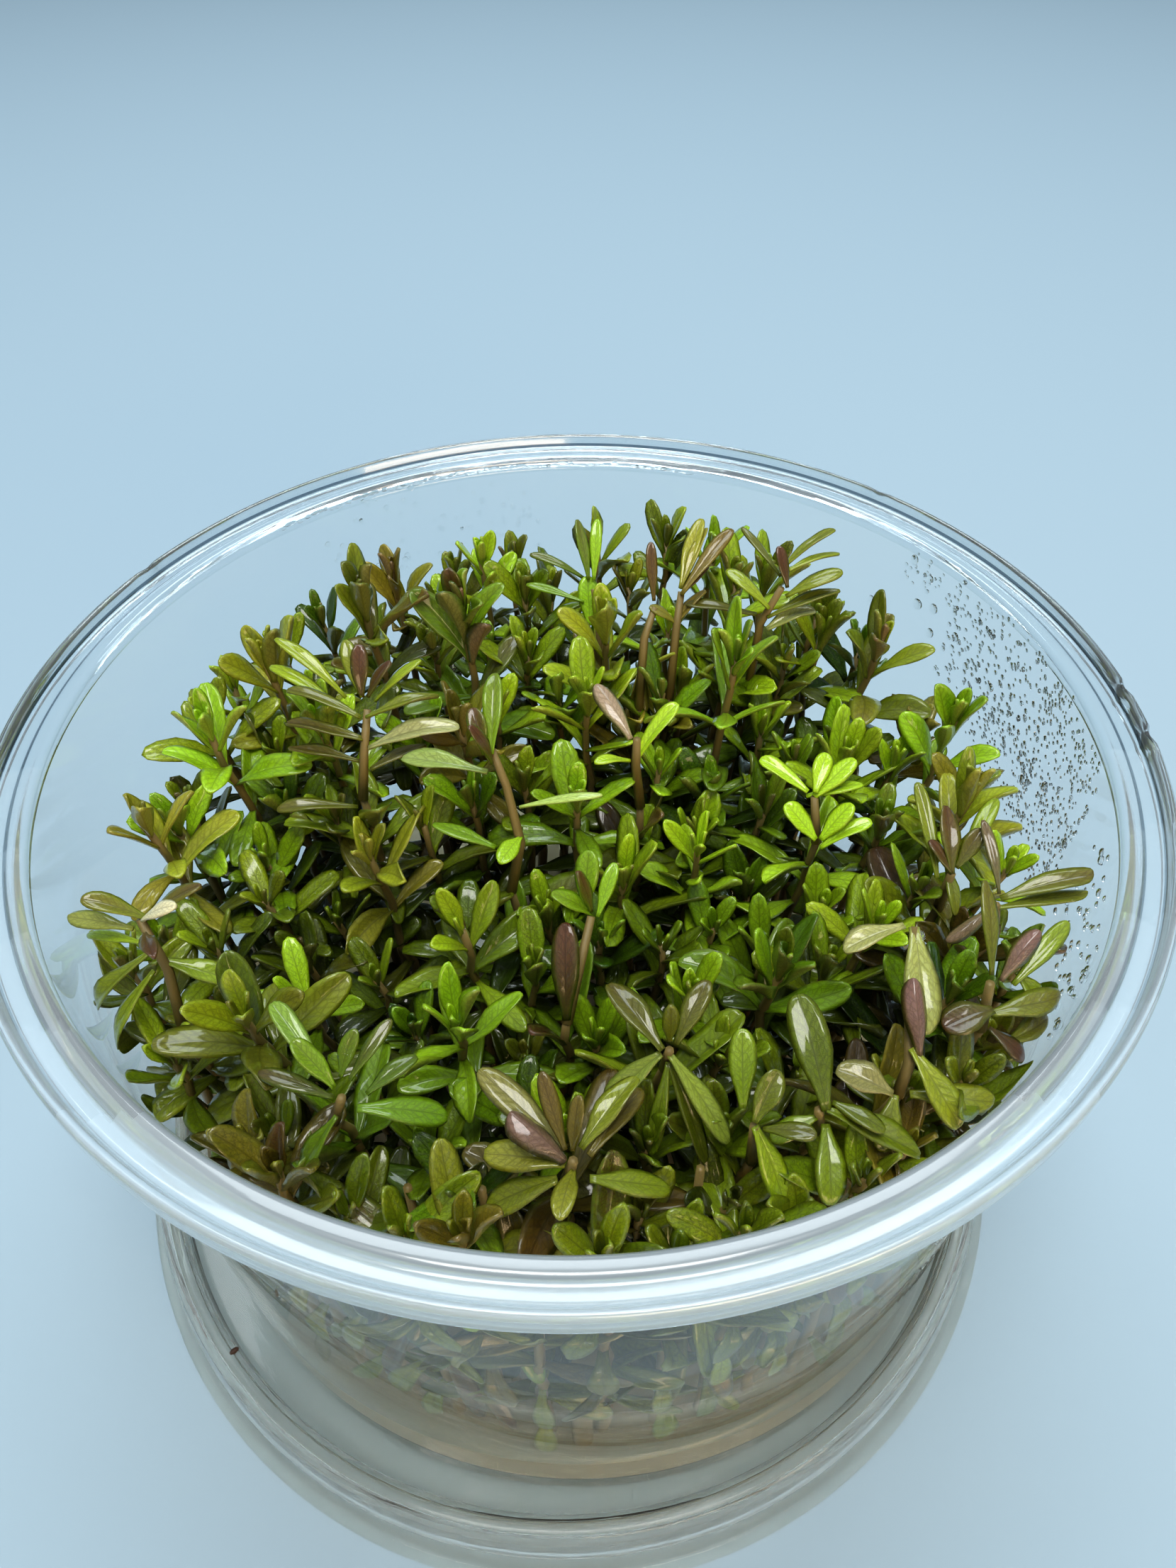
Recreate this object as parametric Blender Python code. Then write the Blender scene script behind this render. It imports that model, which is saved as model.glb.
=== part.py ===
"""Rotala shoots growing in a clear culture cup that stands on its own lid. Metres, +Z up.

The origin is on the surface that the lid stands on, under the middle of the lid.
"""
import math
import random

import bmesh
import bpy
from mathutils import Matrix, Vector
from mathutils.bvhtree import BVHTree

MM = 0.001
GAP = 0.3 * MM                    # left between pieces that touch
TURN_STEPS = 40                   # facets round the cup, the lid and the gel

# Lid, right side up under the cup
LID_SKIRT_RADIUS = 48.0 * MM      # the skirt's lower bead
LID_RIM_RADIUS = 46.0 * MM        # the raised rim, which fits over the cup's flange
LID_RIM_HEIGHT = 8.1 * MM
LID_PANEL_RADIUS = 43.4 * MM      # the sunken panel that another cup's foot sits in
LID_PANEL_HEIGHT = 4.4 * MM
LID_WALL = 0.8 * MM

# Cup
CUP_SHIFT = Vector((1.5 * MM, 0.0, 0.0))    # the cup stands a little off the lid's middle
CUP_FOOT_RADIUS = 41.3 * MM
CUP_LIP_RADIUS = 42.0 * MM        # of the wall under the lip
CUP_FLANGE_RADIUS = 45.05 * MM
CUP_LIP_HEIGHT = 56.5 * MM        # above the cup's own foot
CUP_WALL = 0.7 * MM
CUP_FLOOR = 1.9 * MM              # top of the cup's floor above its foot
CUP_BASE = LID_PANEL_HEIGHT + GAP

# Gel
GEL_TOP = 8.4 * MM                # above the cup's foot

# Shoots
SEED = 11
ROOT_SPREAD = 0.84                # roots stand closer together than tips
STEM_RADIUS = 0.65 * MM
LEAF_LENGTH = 6.6 * MM
LEAF_WIDTH = 2.1 * MM
LEAF_THICKNESS = 0.5 * MM
LEAF_SEAT = 1.1 * MM              # height of stem that carries one pair
WALL_CLEARANCE = 0.6 * MM

# Where each shoot's tip is, in mm from the middle of the cup's lip: x, y, and height over the lip.
# The first rows are the tall shoots at the rear, the last ones stand at the front.
SHOOT_TIPS = (
    (1, 26, 2), (12, 27, 2), (21, 22, 1), (-9, 26, -2), (-18, 27, -5), (-19, 17, 0),
    (-10, 15, 0), (-28, 13, -4), (2, 6, 1), (14, 9, -1), (3, 16, -3), (28, 14, -4),
    (33, 5, -5), (32, -4, -5), (34, -15, -2), (-31, 4, -4), (-34, -6, -5), (-31, -16, -3),
    (-6, -2, 1), (-10, 6, -6), (-18, 4, 1), (22, -1, -7), (10, -5, -10), (-9, -13, -10),
    (1, -15, -6), (-17, -6, -9), (-23, -23, -6), (-15, -30, -5), (-3, -32, -5), (6, -24, -7),
    (15, -18, -9), (23, -20, -4), (15, -31, -6), (-9, -22, -9),
)

# One row for each pair of leaves: distance below the tip, share of the full leaf length, rise in degrees
LEAF_PAIRS = (
    (1.4 * MM, 0.66, 64),
    (4.2 * MM, 0.90, 50),
    (8.4 * MM, 1.00, 38),
    (14.6 * MM, 0.96, 24),
    (23.5 * MM, 0.84, 8),
)


def clear_scene():
    for obj in list(bpy.data.objects):
        bpy.data.objects.remove(obj, do_unlink=True)


def material(name, colour, roughness, transmission=0.0):
    made = bpy.data.materials.new(name)
    made.use_nodes = True
    shader = made.node_tree.nodes["Principled BSDF"]
    shader.inputs["Base Color"].default_value = (*colour, 1.0)
    shader.inputs["Roughness"].default_value = roughness
    shader.inputs["Metallic"].default_value = 0.0
    shader.inputs["Transmission Weight"].default_value = transmission
    made.diffuse_color = (*colour, 1.0)
    return made


def add_object(name, bm, location, finish):
    mesh = bpy.data.meshes.new(name)
    bm.to_mesh(mesh)
    bm.free()
    obj = bpy.data.objects.new(name, mesh)
    obj.location = location
    mesh.materials.append(finish)
    bpy.context.scene.collection.objects.link(obj)
    return obj


def turned(name, profile, location, finish):
    """Spins a profile that starts and ends on the Z axis into a closed solid."""
    bm = bmesh.new()
    verts = [bm.verts.new((radius, 0.0, height)) for radius, height in profile]
    edges = [bm.edges.new(pair) for pair in zip(verts, verts[1:])]
    bmesh.ops.spin(bm, geom=verts + edges, cent=(0, 0, 0), axis=(0, 0, 1),
                   angle=math.tau, steps=TURN_STEPS, use_merge=True)
    bmesh.ops.remove_doubles(bm, verts=bm.verts, dist=0.01 * MM)
    bmesh.ops.recalc_face_normals(bm, faces=bm.faces)
    obj = add_object(name, bm, location, finish)
    obj.data.shade_smooth()
    obj.data.set_sharp_from_angle(angle=math.radians(35))
    return obj


def build_lid(finish):
    bead = 1.0 * MM
    skirt_inner = LID_RIM_RADIUS - LID_WALL
    panel_wall = LID_PANEL_RADIUS + LID_WALL
    under = LID_PANEL_HEIGHT - LID_WALL
    groove_top = LID_RIM_HEIGHT - LID_WALL
    profile = (
        (0.0, under),
        (panel_wall, under),
        (panel_wall + 0.1 * MM, groove_top),
        (skirt_inner, groove_top),
        (skirt_inner + 0.3 * MM, 2.0 * bead),
        (LID_SKIRT_RADIUS - 1.3 * bead, 0.0),
        (LID_SKIRT_RADIUS, 0.0),
        (LID_SKIRT_RADIUS, bead),
        (LID_RIM_RADIUS + 0.9 * MM, 2.0 * bead),
        (LID_RIM_RADIUS, LID_RIM_HEIGHT - 0.7 * MM),
        (LID_RIM_RADIUS - 0.6 * MM, LID_RIM_HEIGHT),
        (LID_PANEL_RADIUS + 0.9 * MM, LID_RIM_HEIGHT),
        (LID_PANEL_RADIUS + 0.3 * MM, LID_RIM_HEIGHT - 0.7 * MM),
        (LID_PANEL_RADIUS, LID_PANEL_HEIGHT),
        (0.0, LID_PANEL_HEIGHT),
    )
    return turned("lid", profile, (0.0, 0.0, 0.0), finish)


def inner_radius(height):
    """Radius of the cup's inner wall at a height above the cup's foot."""
    share = height / CUP_LIP_HEIGHT
    return CUP_FOOT_RADIUS - CUP_WALL + (CUP_LIP_RADIUS - CUP_FOOT_RADIUS) * share


def build_cup(finish):
    lip = CUP_LIP_HEIGHT
    foot = CUP_FOOT_RADIUS
    flange = CUP_FLANGE_RADIUS
    inner = inner_radius(lip)
    outer = inner + CUP_WALL
    plate = lip - 0.3 * MM            # top of the flat ring between the lip and the flange's bead
    profile = (
        (0.0, 0.9 * MM),
        (foot - 2.3 * MM, 0.9 * MM),
        (foot - 1.9 * MM, 0.0),
        (foot - 0.5 * MM, 0.0),
        (foot, 0.6 * MM),
        (outer, plate - CUP_WALL - 0.5 * MM),
        (outer + 0.5 * MM, plate - CUP_WALL),
        (flange - CUP_WALL, plate - CUP_WALL),
        (flange - CUP_WALL, lip - 1.5 * MM),
        (flange, lip - 1.3 * MM),
        (flange, lip + 0.5 * MM),
        (flange - 0.3 * MM, lip + 0.9 * MM),
        (flange - 0.7 * MM, lip + 0.7 * MM),
        (flange - 1.0 * MM, plate),
        (outer + 0.9 * MM, plate),
        (outer + 0.5 * MM, lip),
        (inner + 0.3 * MM, lip),
        (inner, lip - 0.4 * MM),
        (inner_radius(2.6 * MM), 2.6 * MM),
        (inner_radius(0.0) - 0.8 * MM, CUP_FLOOR),
        (0.0, CUP_FLOOR),
    )
    location = CUP_SHIFT + Vector((0.0, 0.0, CUP_BASE))
    return turned("cup", profile, location, finish)


def build_gel(finish):
    """The gel fills the bottom of the cup and climbs a little up the wall."""
    edge = GEL_TOP + 0.4 * MM
    shoulder = 3.0 * MM
    profile = (
        (0.0, CUP_FLOOR + GAP),
        (inner_radius(0.0) - 1.1 * MM, CUP_FLOOR + GAP),
        (inner_radius(shoulder) - GAP - 0.05 * MM, shoulder),
        (inner_radius(edge) - GAP, edge),
        (inner_radius(edge) - 1.4 * MM, GEL_TOP),
        (0.0, GEL_TOP),
    )
    location = CUP_SHIFT + Vector((0.0, 0.0, CUP_BASE))
    return turned("gel", profile, location, finish)


def shoot_places():
    """Root and tip of each shoot, relative to the cup's axis."""
    root_height = CUP_BASE + GEL_TOP + GAP
    for x, y, over_lip in SHOOT_TIPS:
        tip = Vector((x * MM, y * MM, CUP_BASE + CUP_LIP_HEIGHT + over_lip * MM))
        root = Vector((tip.x * ROOT_SPREAD, tip.y * ROOT_SPREAD, root_height))
        yield root, tip


def on_stem(root, tip, height):
    """Point of the stem's middle line: upright at the root, leaning outwards above."""
    share = (height - root.z) / (tip.z - root.z)
    side = share ** 1.4
    return Vector((root.x + (tip.x - root.x) * side, root.y + (tip.y - root.y) * side, height))


def place_section(face, spot, across, lift, width, thickness):
    """Moves a leaf's end face to a new section, keeping which corner is left, right, over or under."""
    middle = face.calc_center_median()
    for vert in face.verts:
        offset = vert.co - middle
        side = 0.5 if offset.dot(across) > 0 else -0.5
        over = 0.5 if offset.dot(lift) > 0 else -0.5
        vert.co = spot + across * side * width + lift * over * thickness


def grow_leaf(bm, face, length, rise):
    """Draws one leaf out of a face of the stem: narrow at the base, widest near its blunt tip."""
    outward = face.normal.copy()
    outward.z = 0.0
    outward.normalize()
    start = face.calc_center_median()
    room = inner_radius(start.z - CUP_BASE) - WALL_CLEARANCE
    ahead = Vector((start.x, start.y, 0.0)).dot(outward)
    sideways = Vector((start.x, start.y, 0.0)).length_squared - ahead ** 2
    reach = math.sqrt(max(0.0, (room - LEAF_WIDTH / 2) ** 2 - sideways)) - ahead
    if length * math.cos(rise) > reach:
        rise = math.acos(max(0.2, min(1.0, reach / length)))
    across = Vector((-outward.y, outward.x, 0.0))
    spot = start
    stations = (
        (0.62, rise + math.radians(6), LEAF_WIDTH, LEAF_THICKNESS),
        (0.38, rise - math.radians(14), 0.45 * LEAF_WIDTH, 0.0),
    )
    for share, slope, width, thickness in stations:
        along = outward * math.cos(slope) + Vector((0.0, 0.0, math.sin(slope)))
        lift = across.cross(along) * -1.0
        spot = spot + along * share * length
        face = bmesh.ops.extrude_discrete_faces(bm, faces=[face])["faces"][0]
        place_section(face, spot, across, lift, width, max(thickness, 0.02 * MM))
    bmesh.ops.remove_doubles(bm, verts=face.verts, dist=0.05 * MM)


def grow_shoot(root, tip, turn, scale):
    """One stem with five crossed pairs of leaves, as one closed skin."""
    bm = bmesh.new()
    seats = [tip.z - drop for drop, share, rise in LEAF_PAIRS]
    first = seats[-1] - LEAF_SEAT / 2
    bmesh.ops.create_cube(bm, size=1.0)
    for vert in bm.verts:
        centre = on_stem(root, tip, first if vert.co.z > 0 else root.z)
        corner = Vector((vert.co.x, vert.co.y, 0.0)) * 2.0 * STEM_RADIUS
        vert.co = centre + Matrix.Rotation(turn, 3, "Z") @ corner
    top = max(bm.faces, key=lambda face: face.calc_center_median().z)
    leaves = []
    for number in reversed(range(len(LEAF_PAIRS))):
        drop, share, rise = LEAF_PAIRS[number]
        upper = seats[number] + LEAF_SEAT / 2
        top, sides = raise_stem(bm, top, on_stem(root, tip, upper))
        pair = [side for side in sides if is_on_axis(side, turn, number % 2)]
        leaves += [(side, share * scale * LEAF_LENGTH, math.radians(rise)) for side in pair]
        if number > 0:
            lower = seats[number - 1] - LEAF_SEAT / 2
            top, sides = raise_stem(bm, top, on_stem(root, tip, lower))
    top, sides = raise_stem(bm, top, tip)
    bmesh.ops.pointmerge(bm, verts=top.verts, merge_co=tip)
    bm.normal_update()
    for side, length, rise in leaves:
        grow_leaf(bm, side, length, rise)
    bmesh.ops.recalc_face_normals(bm, faces=bm.faces)
    return bm


def raise_stem(bm, top, centre):
    """Carries the stem's upper end to a new centre and returns it with the four new side faces."""
    top = bmesh.ops.extrude_discrete_faces(bm, faces=[top])["faces"][0]
    bmesh.ops.translate(bm, verts=top.verts, vec=centre - top.calc_center_median())
    sides = [face for edge in top.edges for face in edge.link_faces if face is not top]
    bm.normal_update()
    return top, sides


def is_on_axis(face, turn, crossed):
    """True for the two opposite faces of the stem that carry a pair; the next pair is crossed to it."""
    axis = Vector((math.cos(turn), math.sin(turn), 0.0))
    along = abs(face.normal.dot(axis)) > 0.7
    return along != bool(crossed)


def build_shoots(finishes):
    """Each shoot is turned, and if need be made smaller, until it clears the shoots grown before it."""
    dice = random.Random(SEED)
    grown = []
    for number, (root, tip) in enumerate(shoot_places(), start=1):
        start_turn = dice.uniform(0.0, math.pi)
        for attempt in range(60):
            turn = start_turn + attempt * math.radians(15)
            scale = 1.0 - 0.07 * (attempt // 6)
            bm = grow_shoot(root, tip, turn, scale)
            tree = BVHTree.FromBMesh(bm)
            if not any(tree.overlap(other) for other in grown):
                break
            bm.free()
        grown.append(tree)
        bmesh.ops.translate(bm, verts=bm.verts, vec=-root)
        finish = finishes[number % len(finishes)]
        add_object(f"shoot_{number:02d}", bm, root + CUP_SHIFT, finish)


def main():
    clear_scene()
    build_lid(material("lid_plastic", (0.86, 0.90, 0.92), 0.08, 1.0))
    build_cup(material("cup_plastic", (0.88, 0.92, 0.94), 0.05, 1.0))
    build_gel(material("nutrient_gel", (0.86, 0.84, 0.66), 0.15, 0.9))
    build_shoots((
        material("olive_foliage", (0.12, 0.16, 0.03), 0.35),
        material("green_foliage", (0.17, 0.31, 0.04), 0.35),
        material("bronze_foliage", (0.15, 0.12, 0.05), 0.35),
    ))


main()
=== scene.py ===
import math
import random

import bpy
import numpy as np
from mathutils import Matrix, Vector


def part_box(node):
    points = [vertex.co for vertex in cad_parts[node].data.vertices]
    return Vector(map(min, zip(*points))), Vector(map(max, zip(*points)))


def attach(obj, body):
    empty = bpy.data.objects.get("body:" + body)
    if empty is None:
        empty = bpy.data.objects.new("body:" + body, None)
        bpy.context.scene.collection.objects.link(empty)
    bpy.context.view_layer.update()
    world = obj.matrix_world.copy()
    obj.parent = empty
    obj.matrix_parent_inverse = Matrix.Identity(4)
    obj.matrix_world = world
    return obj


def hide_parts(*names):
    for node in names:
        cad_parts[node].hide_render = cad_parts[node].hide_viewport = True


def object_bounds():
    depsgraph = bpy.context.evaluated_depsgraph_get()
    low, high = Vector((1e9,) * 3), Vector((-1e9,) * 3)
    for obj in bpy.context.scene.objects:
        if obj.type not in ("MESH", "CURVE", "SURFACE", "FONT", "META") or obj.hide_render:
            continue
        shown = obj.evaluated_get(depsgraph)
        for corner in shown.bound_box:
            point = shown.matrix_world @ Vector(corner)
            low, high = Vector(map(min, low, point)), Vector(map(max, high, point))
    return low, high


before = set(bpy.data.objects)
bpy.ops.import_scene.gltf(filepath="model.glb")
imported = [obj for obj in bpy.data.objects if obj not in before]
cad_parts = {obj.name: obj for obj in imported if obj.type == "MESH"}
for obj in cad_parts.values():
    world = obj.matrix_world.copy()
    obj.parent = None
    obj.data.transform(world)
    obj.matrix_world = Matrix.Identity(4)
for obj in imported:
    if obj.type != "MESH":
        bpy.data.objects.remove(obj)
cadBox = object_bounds()
mm = 0.001
print("frame loaded:", len(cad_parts), "nodes")


# Shared measures of the cup, read from the frame where it gives them
cup = {
    "axisX": 1.5,               # the cup stands a little off the middle of its lid
    "foot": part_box("cup")[0].z / mm,
    "lip": 56.5,                # over the cup's own foot
    "footRadius": 41.3,
    "lipRadius": 42.0,          # of the wall under the lip
    "flangeRadius": 45.05,
    "wall": 0.7,
    "floor": 1.9,
    "gelTop": 8.4,
}
lipHeight = cup["foot"] + cup["lip"]


def innerRadius(height):
    # radius of the inner wall, height in mm above the ground
    share = (height - cup["foot"]) / cup["lip"]
    return cup["footRadius"] - cup["wall"] + (cup["lipRadius"] - cup["footRadius"]) * share


# Camera and light
view = {
    "lens": 24.74,
    "place": (1.76, -63.1, 119.6),
    "pitchDown": 46.09,
    "yaw": 0.68,
    "roll": -0.50,
    "floorSize": 4.0,
    "floorColour": (0.366, 0.482, 0.566, 1.0),
    "floorDrop": 0.1,           # mm left under the lid, whose lower edge isn't quite flat
    "skyColour": (0.82, 0.92, 1.0, 1.0),
    "skyLow": 0.14,             # strength of the sky at the ground and overhead
    "skyHigh": 0.36,
    "skyFront": 0.12,
    "topLamp": 5.8,
    "rearLamp": 4.5,
    "frontLamp": 1.7,           # low, so that it reaches under the lip
    "bounces": 16,
}


def addCamera():
    lens = bpy.data.cameras.new("photoCamera")
    lens.sensor_width = 36.0
    lens.lens = view["lens"]
    lens.clip_start = 0.002
    lens.clip_end = 50.0
    camera = bpy.data.objects.new("photoCamera", lens)
    bpy.context.scene.collection.objects.link(camera)
    pitch, yaw, roll = (math.radians(view[key]) for key in ("pitchDown", "yaw", "roll"))
    forward = Vector((math.sin(yaw) * math.cos(pitch), math.cos(yaw) * math.cos(pitch), -math.sin(pitch)))
    right = Vector((math.cos(yaw), -math.sin(yaw), 0.0))
    up = right.cross(forward)
    rolledRight = math.cos(roll) * right + math.sin(roll) * up
    rolledUp = math.cos(roll) * up - math.sin(roll) * right
    turned = Matrix((rolledRight, rolledUp, -forward)).transposed().to_4x4()
    camera.matrix_world = Matrix.Translation(Vector(view["place"]) * mm) @ turned
    bpy.context.scene.camera = camera


def addLight(name, place, size, power, colour, target=(0.0, 0.0, 0.05)):
    lamp = bpy.data.lights.new(name, "AREA")
    lamp.shape = "RECTANGLE"
    lamp.size, lamp.size_y = size
    lamp.energy = power
    lamp.color = colour
    holder = bpy.data.objects.new(name, lamp)
    holder.location = place
    holder.rotation_mode = "QUATERNION"
    holder.rotation_quaternion = (Vector(target) - Vector(place)).to_track_quat("-Z", "Y")
    bpy.context.scene.collection.objects.link(holder)


def lightTheScene():
    world = bpy.data.worlds.new("studio")
    world.use_nodes = True
    tree = world.node_tree
    shade = tree.nodes["Background"]
    shade.inputs["Color"].default_value = view["skyColour"]
    direction = addNode(tree, "ShaderNodeTexCoord", "direction")
    split = addNode(tree, "ShaderNodeSeparateXYZ", "height")
    wire(tree, direction.outputs["Generated"], split.inputs[0])
    rise = addNode(tree, "ShaderNodeMapRange", "darker near the ground")
    rise.inputs["To Min"].default_value = view["skyLow"]
    rise.inputs["To Max"].default_value = view["skyHigh"]
    wire(tree, split.outputs[2], rise.inputs["Value"])
    # the side towards the viewer is brighter low down
    front = mathNode(tree, "MAXIMUM", mathNode(tree, "MULTIPLY", split.outputs[1], -view["skyFront"]), 0.0)
    low = mathNode(tree, "SUBTRACT", 1.0, mathNode(tree, "ABSOLUTE", split.outputs[2]))
    wire(tree, mathNode(tree, "ADD", rise.outputs[0], mathNode(tree, "MULTIPLY", front, low)), shade.inputs["Strength"])
    bpy.context.scene.world = world
    addLight("topLight", (0.0, -0.20, 0.98), (0.50, 0.34), view["topLamp"], (1.0, 0.99, 0.97))
    addLight("rearLight", (0.02, 0.42, 0.95), (0.70, 0.35), view["rearLamp"], (0.86, 0.95, 1.0))
    addLight("frontLight", (0.24, -0.56, 0.22), (0.50, 0.20), view["frontLamp"], (1.0, 0.72, 0.44), (0.0, -0.03, 0.01))


def setUpRender():
    scene = bpy.context.scene
    scene.view_settings.view_transform = "Standard"
    scene.view_settings.look = "Medium High Contrast"
    scene.cycles.max_bounces = view["bounces"]
    scene.cycles.transmission_bounces = view["bounces"]
    scene.cycles.glossy_bounces = 3
    scene.cycles.diffuse_bounces = 2
    scene.cycles.transparent_max_bounces = 8
    scene.cycles.use_denoising = True
    scene.cycles.sample_clamp_indirect = 10.0


def addFloor(material):
    half = view["floorSize"] / 2
    mesh = bpy.data.meshes.new("floor")
    mesh.from_pydata([(-half, -half, 0), (half, -half, 0), (half, half, 0), (-half, half, 0)], [], [(0, 1, 2, 3)])
    mesh.materials.append(material)
    floor = bpy.data.objects.new("floor", mesh)
    floor.location.z = -view["floorDrop"] * mm
    bpy.context.scene.collection.objects.link(floor)


# Node helpers
def newMaterial(name):
    made = bpy.data.materials.new(name)
    made.use_nodes = True
    tree = made.node_tree
    return made, tree, tree.nodes["Principled BSDF"]


def addNode(tree, kind, label, **values):
    node = tree.nodes.new(kind)
    node.label = label
    for key, value in values.items():
        setattr(node, key, value)
    return node


def wire(tree, source, target):
    tree.links.new(source, target)


def mathNode(tree, operation, first, second=None, label=""):
    node = addNode(tree, "ShaderNodeMath", label or operation.lower(), operation=operation)
    for socket, value in zip(node.inputs, (first, second)):
        if value is None:
            continue
        if isinstance(value, (int, float)):
            socket.default_value = value
        else:
            wire(tree, value, socket)
    return node.outputs[0]


def mixColour(tree, factor, first, second, label=""):
    node = addNode(tree, "ShaderNodeMix", label or "mix", data_type="RGBA")
    for socket, value in ((node.inputs[0], factor), (node.inputs[6], first), (node.inputs[7], second)):
        if isinstance(value, (int, float, tuple)):
            socket.default_value = value
        else:
            wire(tree, value, socket)
    return node.outputs[2]


def startGroup(name, inputs, outputs):
    group = bpy.data.node_groups.new(name, "ShaderNodeTree")
    for socketName, kind, value in inputs:
        socket = group.interface.new_socket(name=socketName, in_out="INPUT", socket_type=kind)
        if value is not None:
            socket.default_value = value
    for socketName, kind in outputs:
        group.interface.new_socket(name=socketName, in_out="OUTPUT", socket_type=kind)
    return group, group.nodes.new("NodeGroupInput"), group.nodes.new("NodeGroupOutput")


# Leaf vein pattern: places on the leaf come from the mesh, across -1..1 and along 0..1
def makeVeinGroup():
    group, given, result = startGroup(
        "leafVeins",
        [("Vein Count", "NodeSocketFloat", 9.0), ("Vein Slant", "NodeSocketFloat", 0.20),
         ("Vein Width", "NodeSocketFloat", 0.16)],
        [("Veins", "NodeSocketFloat"), ("Midrib", "NodeSocketFloat"), ("Along", "NodeSocketFloat"),
         ("Underside", "NodeSocketFloat"), ("Across", "NodeSocketFloat")])
    place = addNode(group, "ShaderNodeAttribute", "place on the leaf", attribute_name="leafPlace")
    split = addNode(group, "ShaderNodeSeparateXYZ", "across, along, side")
    wire(group, place.outputs["Vector"], split.inputs[0])
    across = mathNode(group, "ABSOLUTE", split.outputs[0])
    wobble = addNode(group, "ShaderNodeTexNoise", "uneven veins")
    wobble.inputs["Scale"].default_value = 900.0
    wobble.inputs["Detail"].default_value = 1.0
    shifted = mathNode(group, "MULTIPLY", wobble.outputs["Fac"], 0.10)
    slanted = mathNode(group, "SUBTRACT", split.outputs[1], mathNode(group, "MULTIPLY", across, given.outputs["Vein Slant"]))
    run = mathNode(group, "MULTIPLY", mathNode(group, "ADD", slanted, shifted), given.outputs["Vein Count"])
    saw = mathNode(group, "ABSOLUTE", mathNode(group, "SUBTRACT", mathNode(group, "FRACT", run), 0.5))
    line = mathNode(group, "DIVIDE", saw, given.outputs["Vein Width"])
    thin = mathNode(group, "SUBTRACT", 1.0, mathNode(group, "MINIMUM", line, 1.0))
    fade = mathNode(group, "SUBTRACT", 1.0, mathNode(group, "POWER", across, 3.0))
    net = addNode(group, "ShaderNodeTexVoronoi", "vein net", feature="DISTANCE_TO_EDGE")
    stretch = addNode(group, "ShaderNodeMapping", "long cells")
    stretch.inputs["Scale"].default_value = (3.4, 10.0, 0.0)
    wire(group, place.outputs["Vector"], stretch.inputs["Vector"])
    wire(group, stretch.outputs[0], net.inputs["Vector"])
    net.inputs["Scale"].default_value = 1.0
    mesh = mathNode(group, "SUBTRACT", 0.6, mathNode(group, "MULTIPLY", net.outputs["Distance"], 6.0))
    mesh = mathNode(group, "MAXIMUM", mesh, 0.0)
    lines = mathNode(group, "MAXIMUM", mathNode(group, "MULTIPLY", thin, fade), mesh)
    wire(group, lines, result.inputs["Veins"])
    rib = mathNode(group, "SUBTRACT", 1.0, mathNode(group, "MINIMUM", mathNode(group, "DIVIDE", across, 0.10), 1.0))
    wire(group, rib, result.inputs["Midrib"])
    wire(group, split.outputs[1], result.inputs["Along"])
    wire(group, split.outputs[2], result.inputs["Underside"])
    wire(group, across, result.inputs["Across"])
    return group


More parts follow.
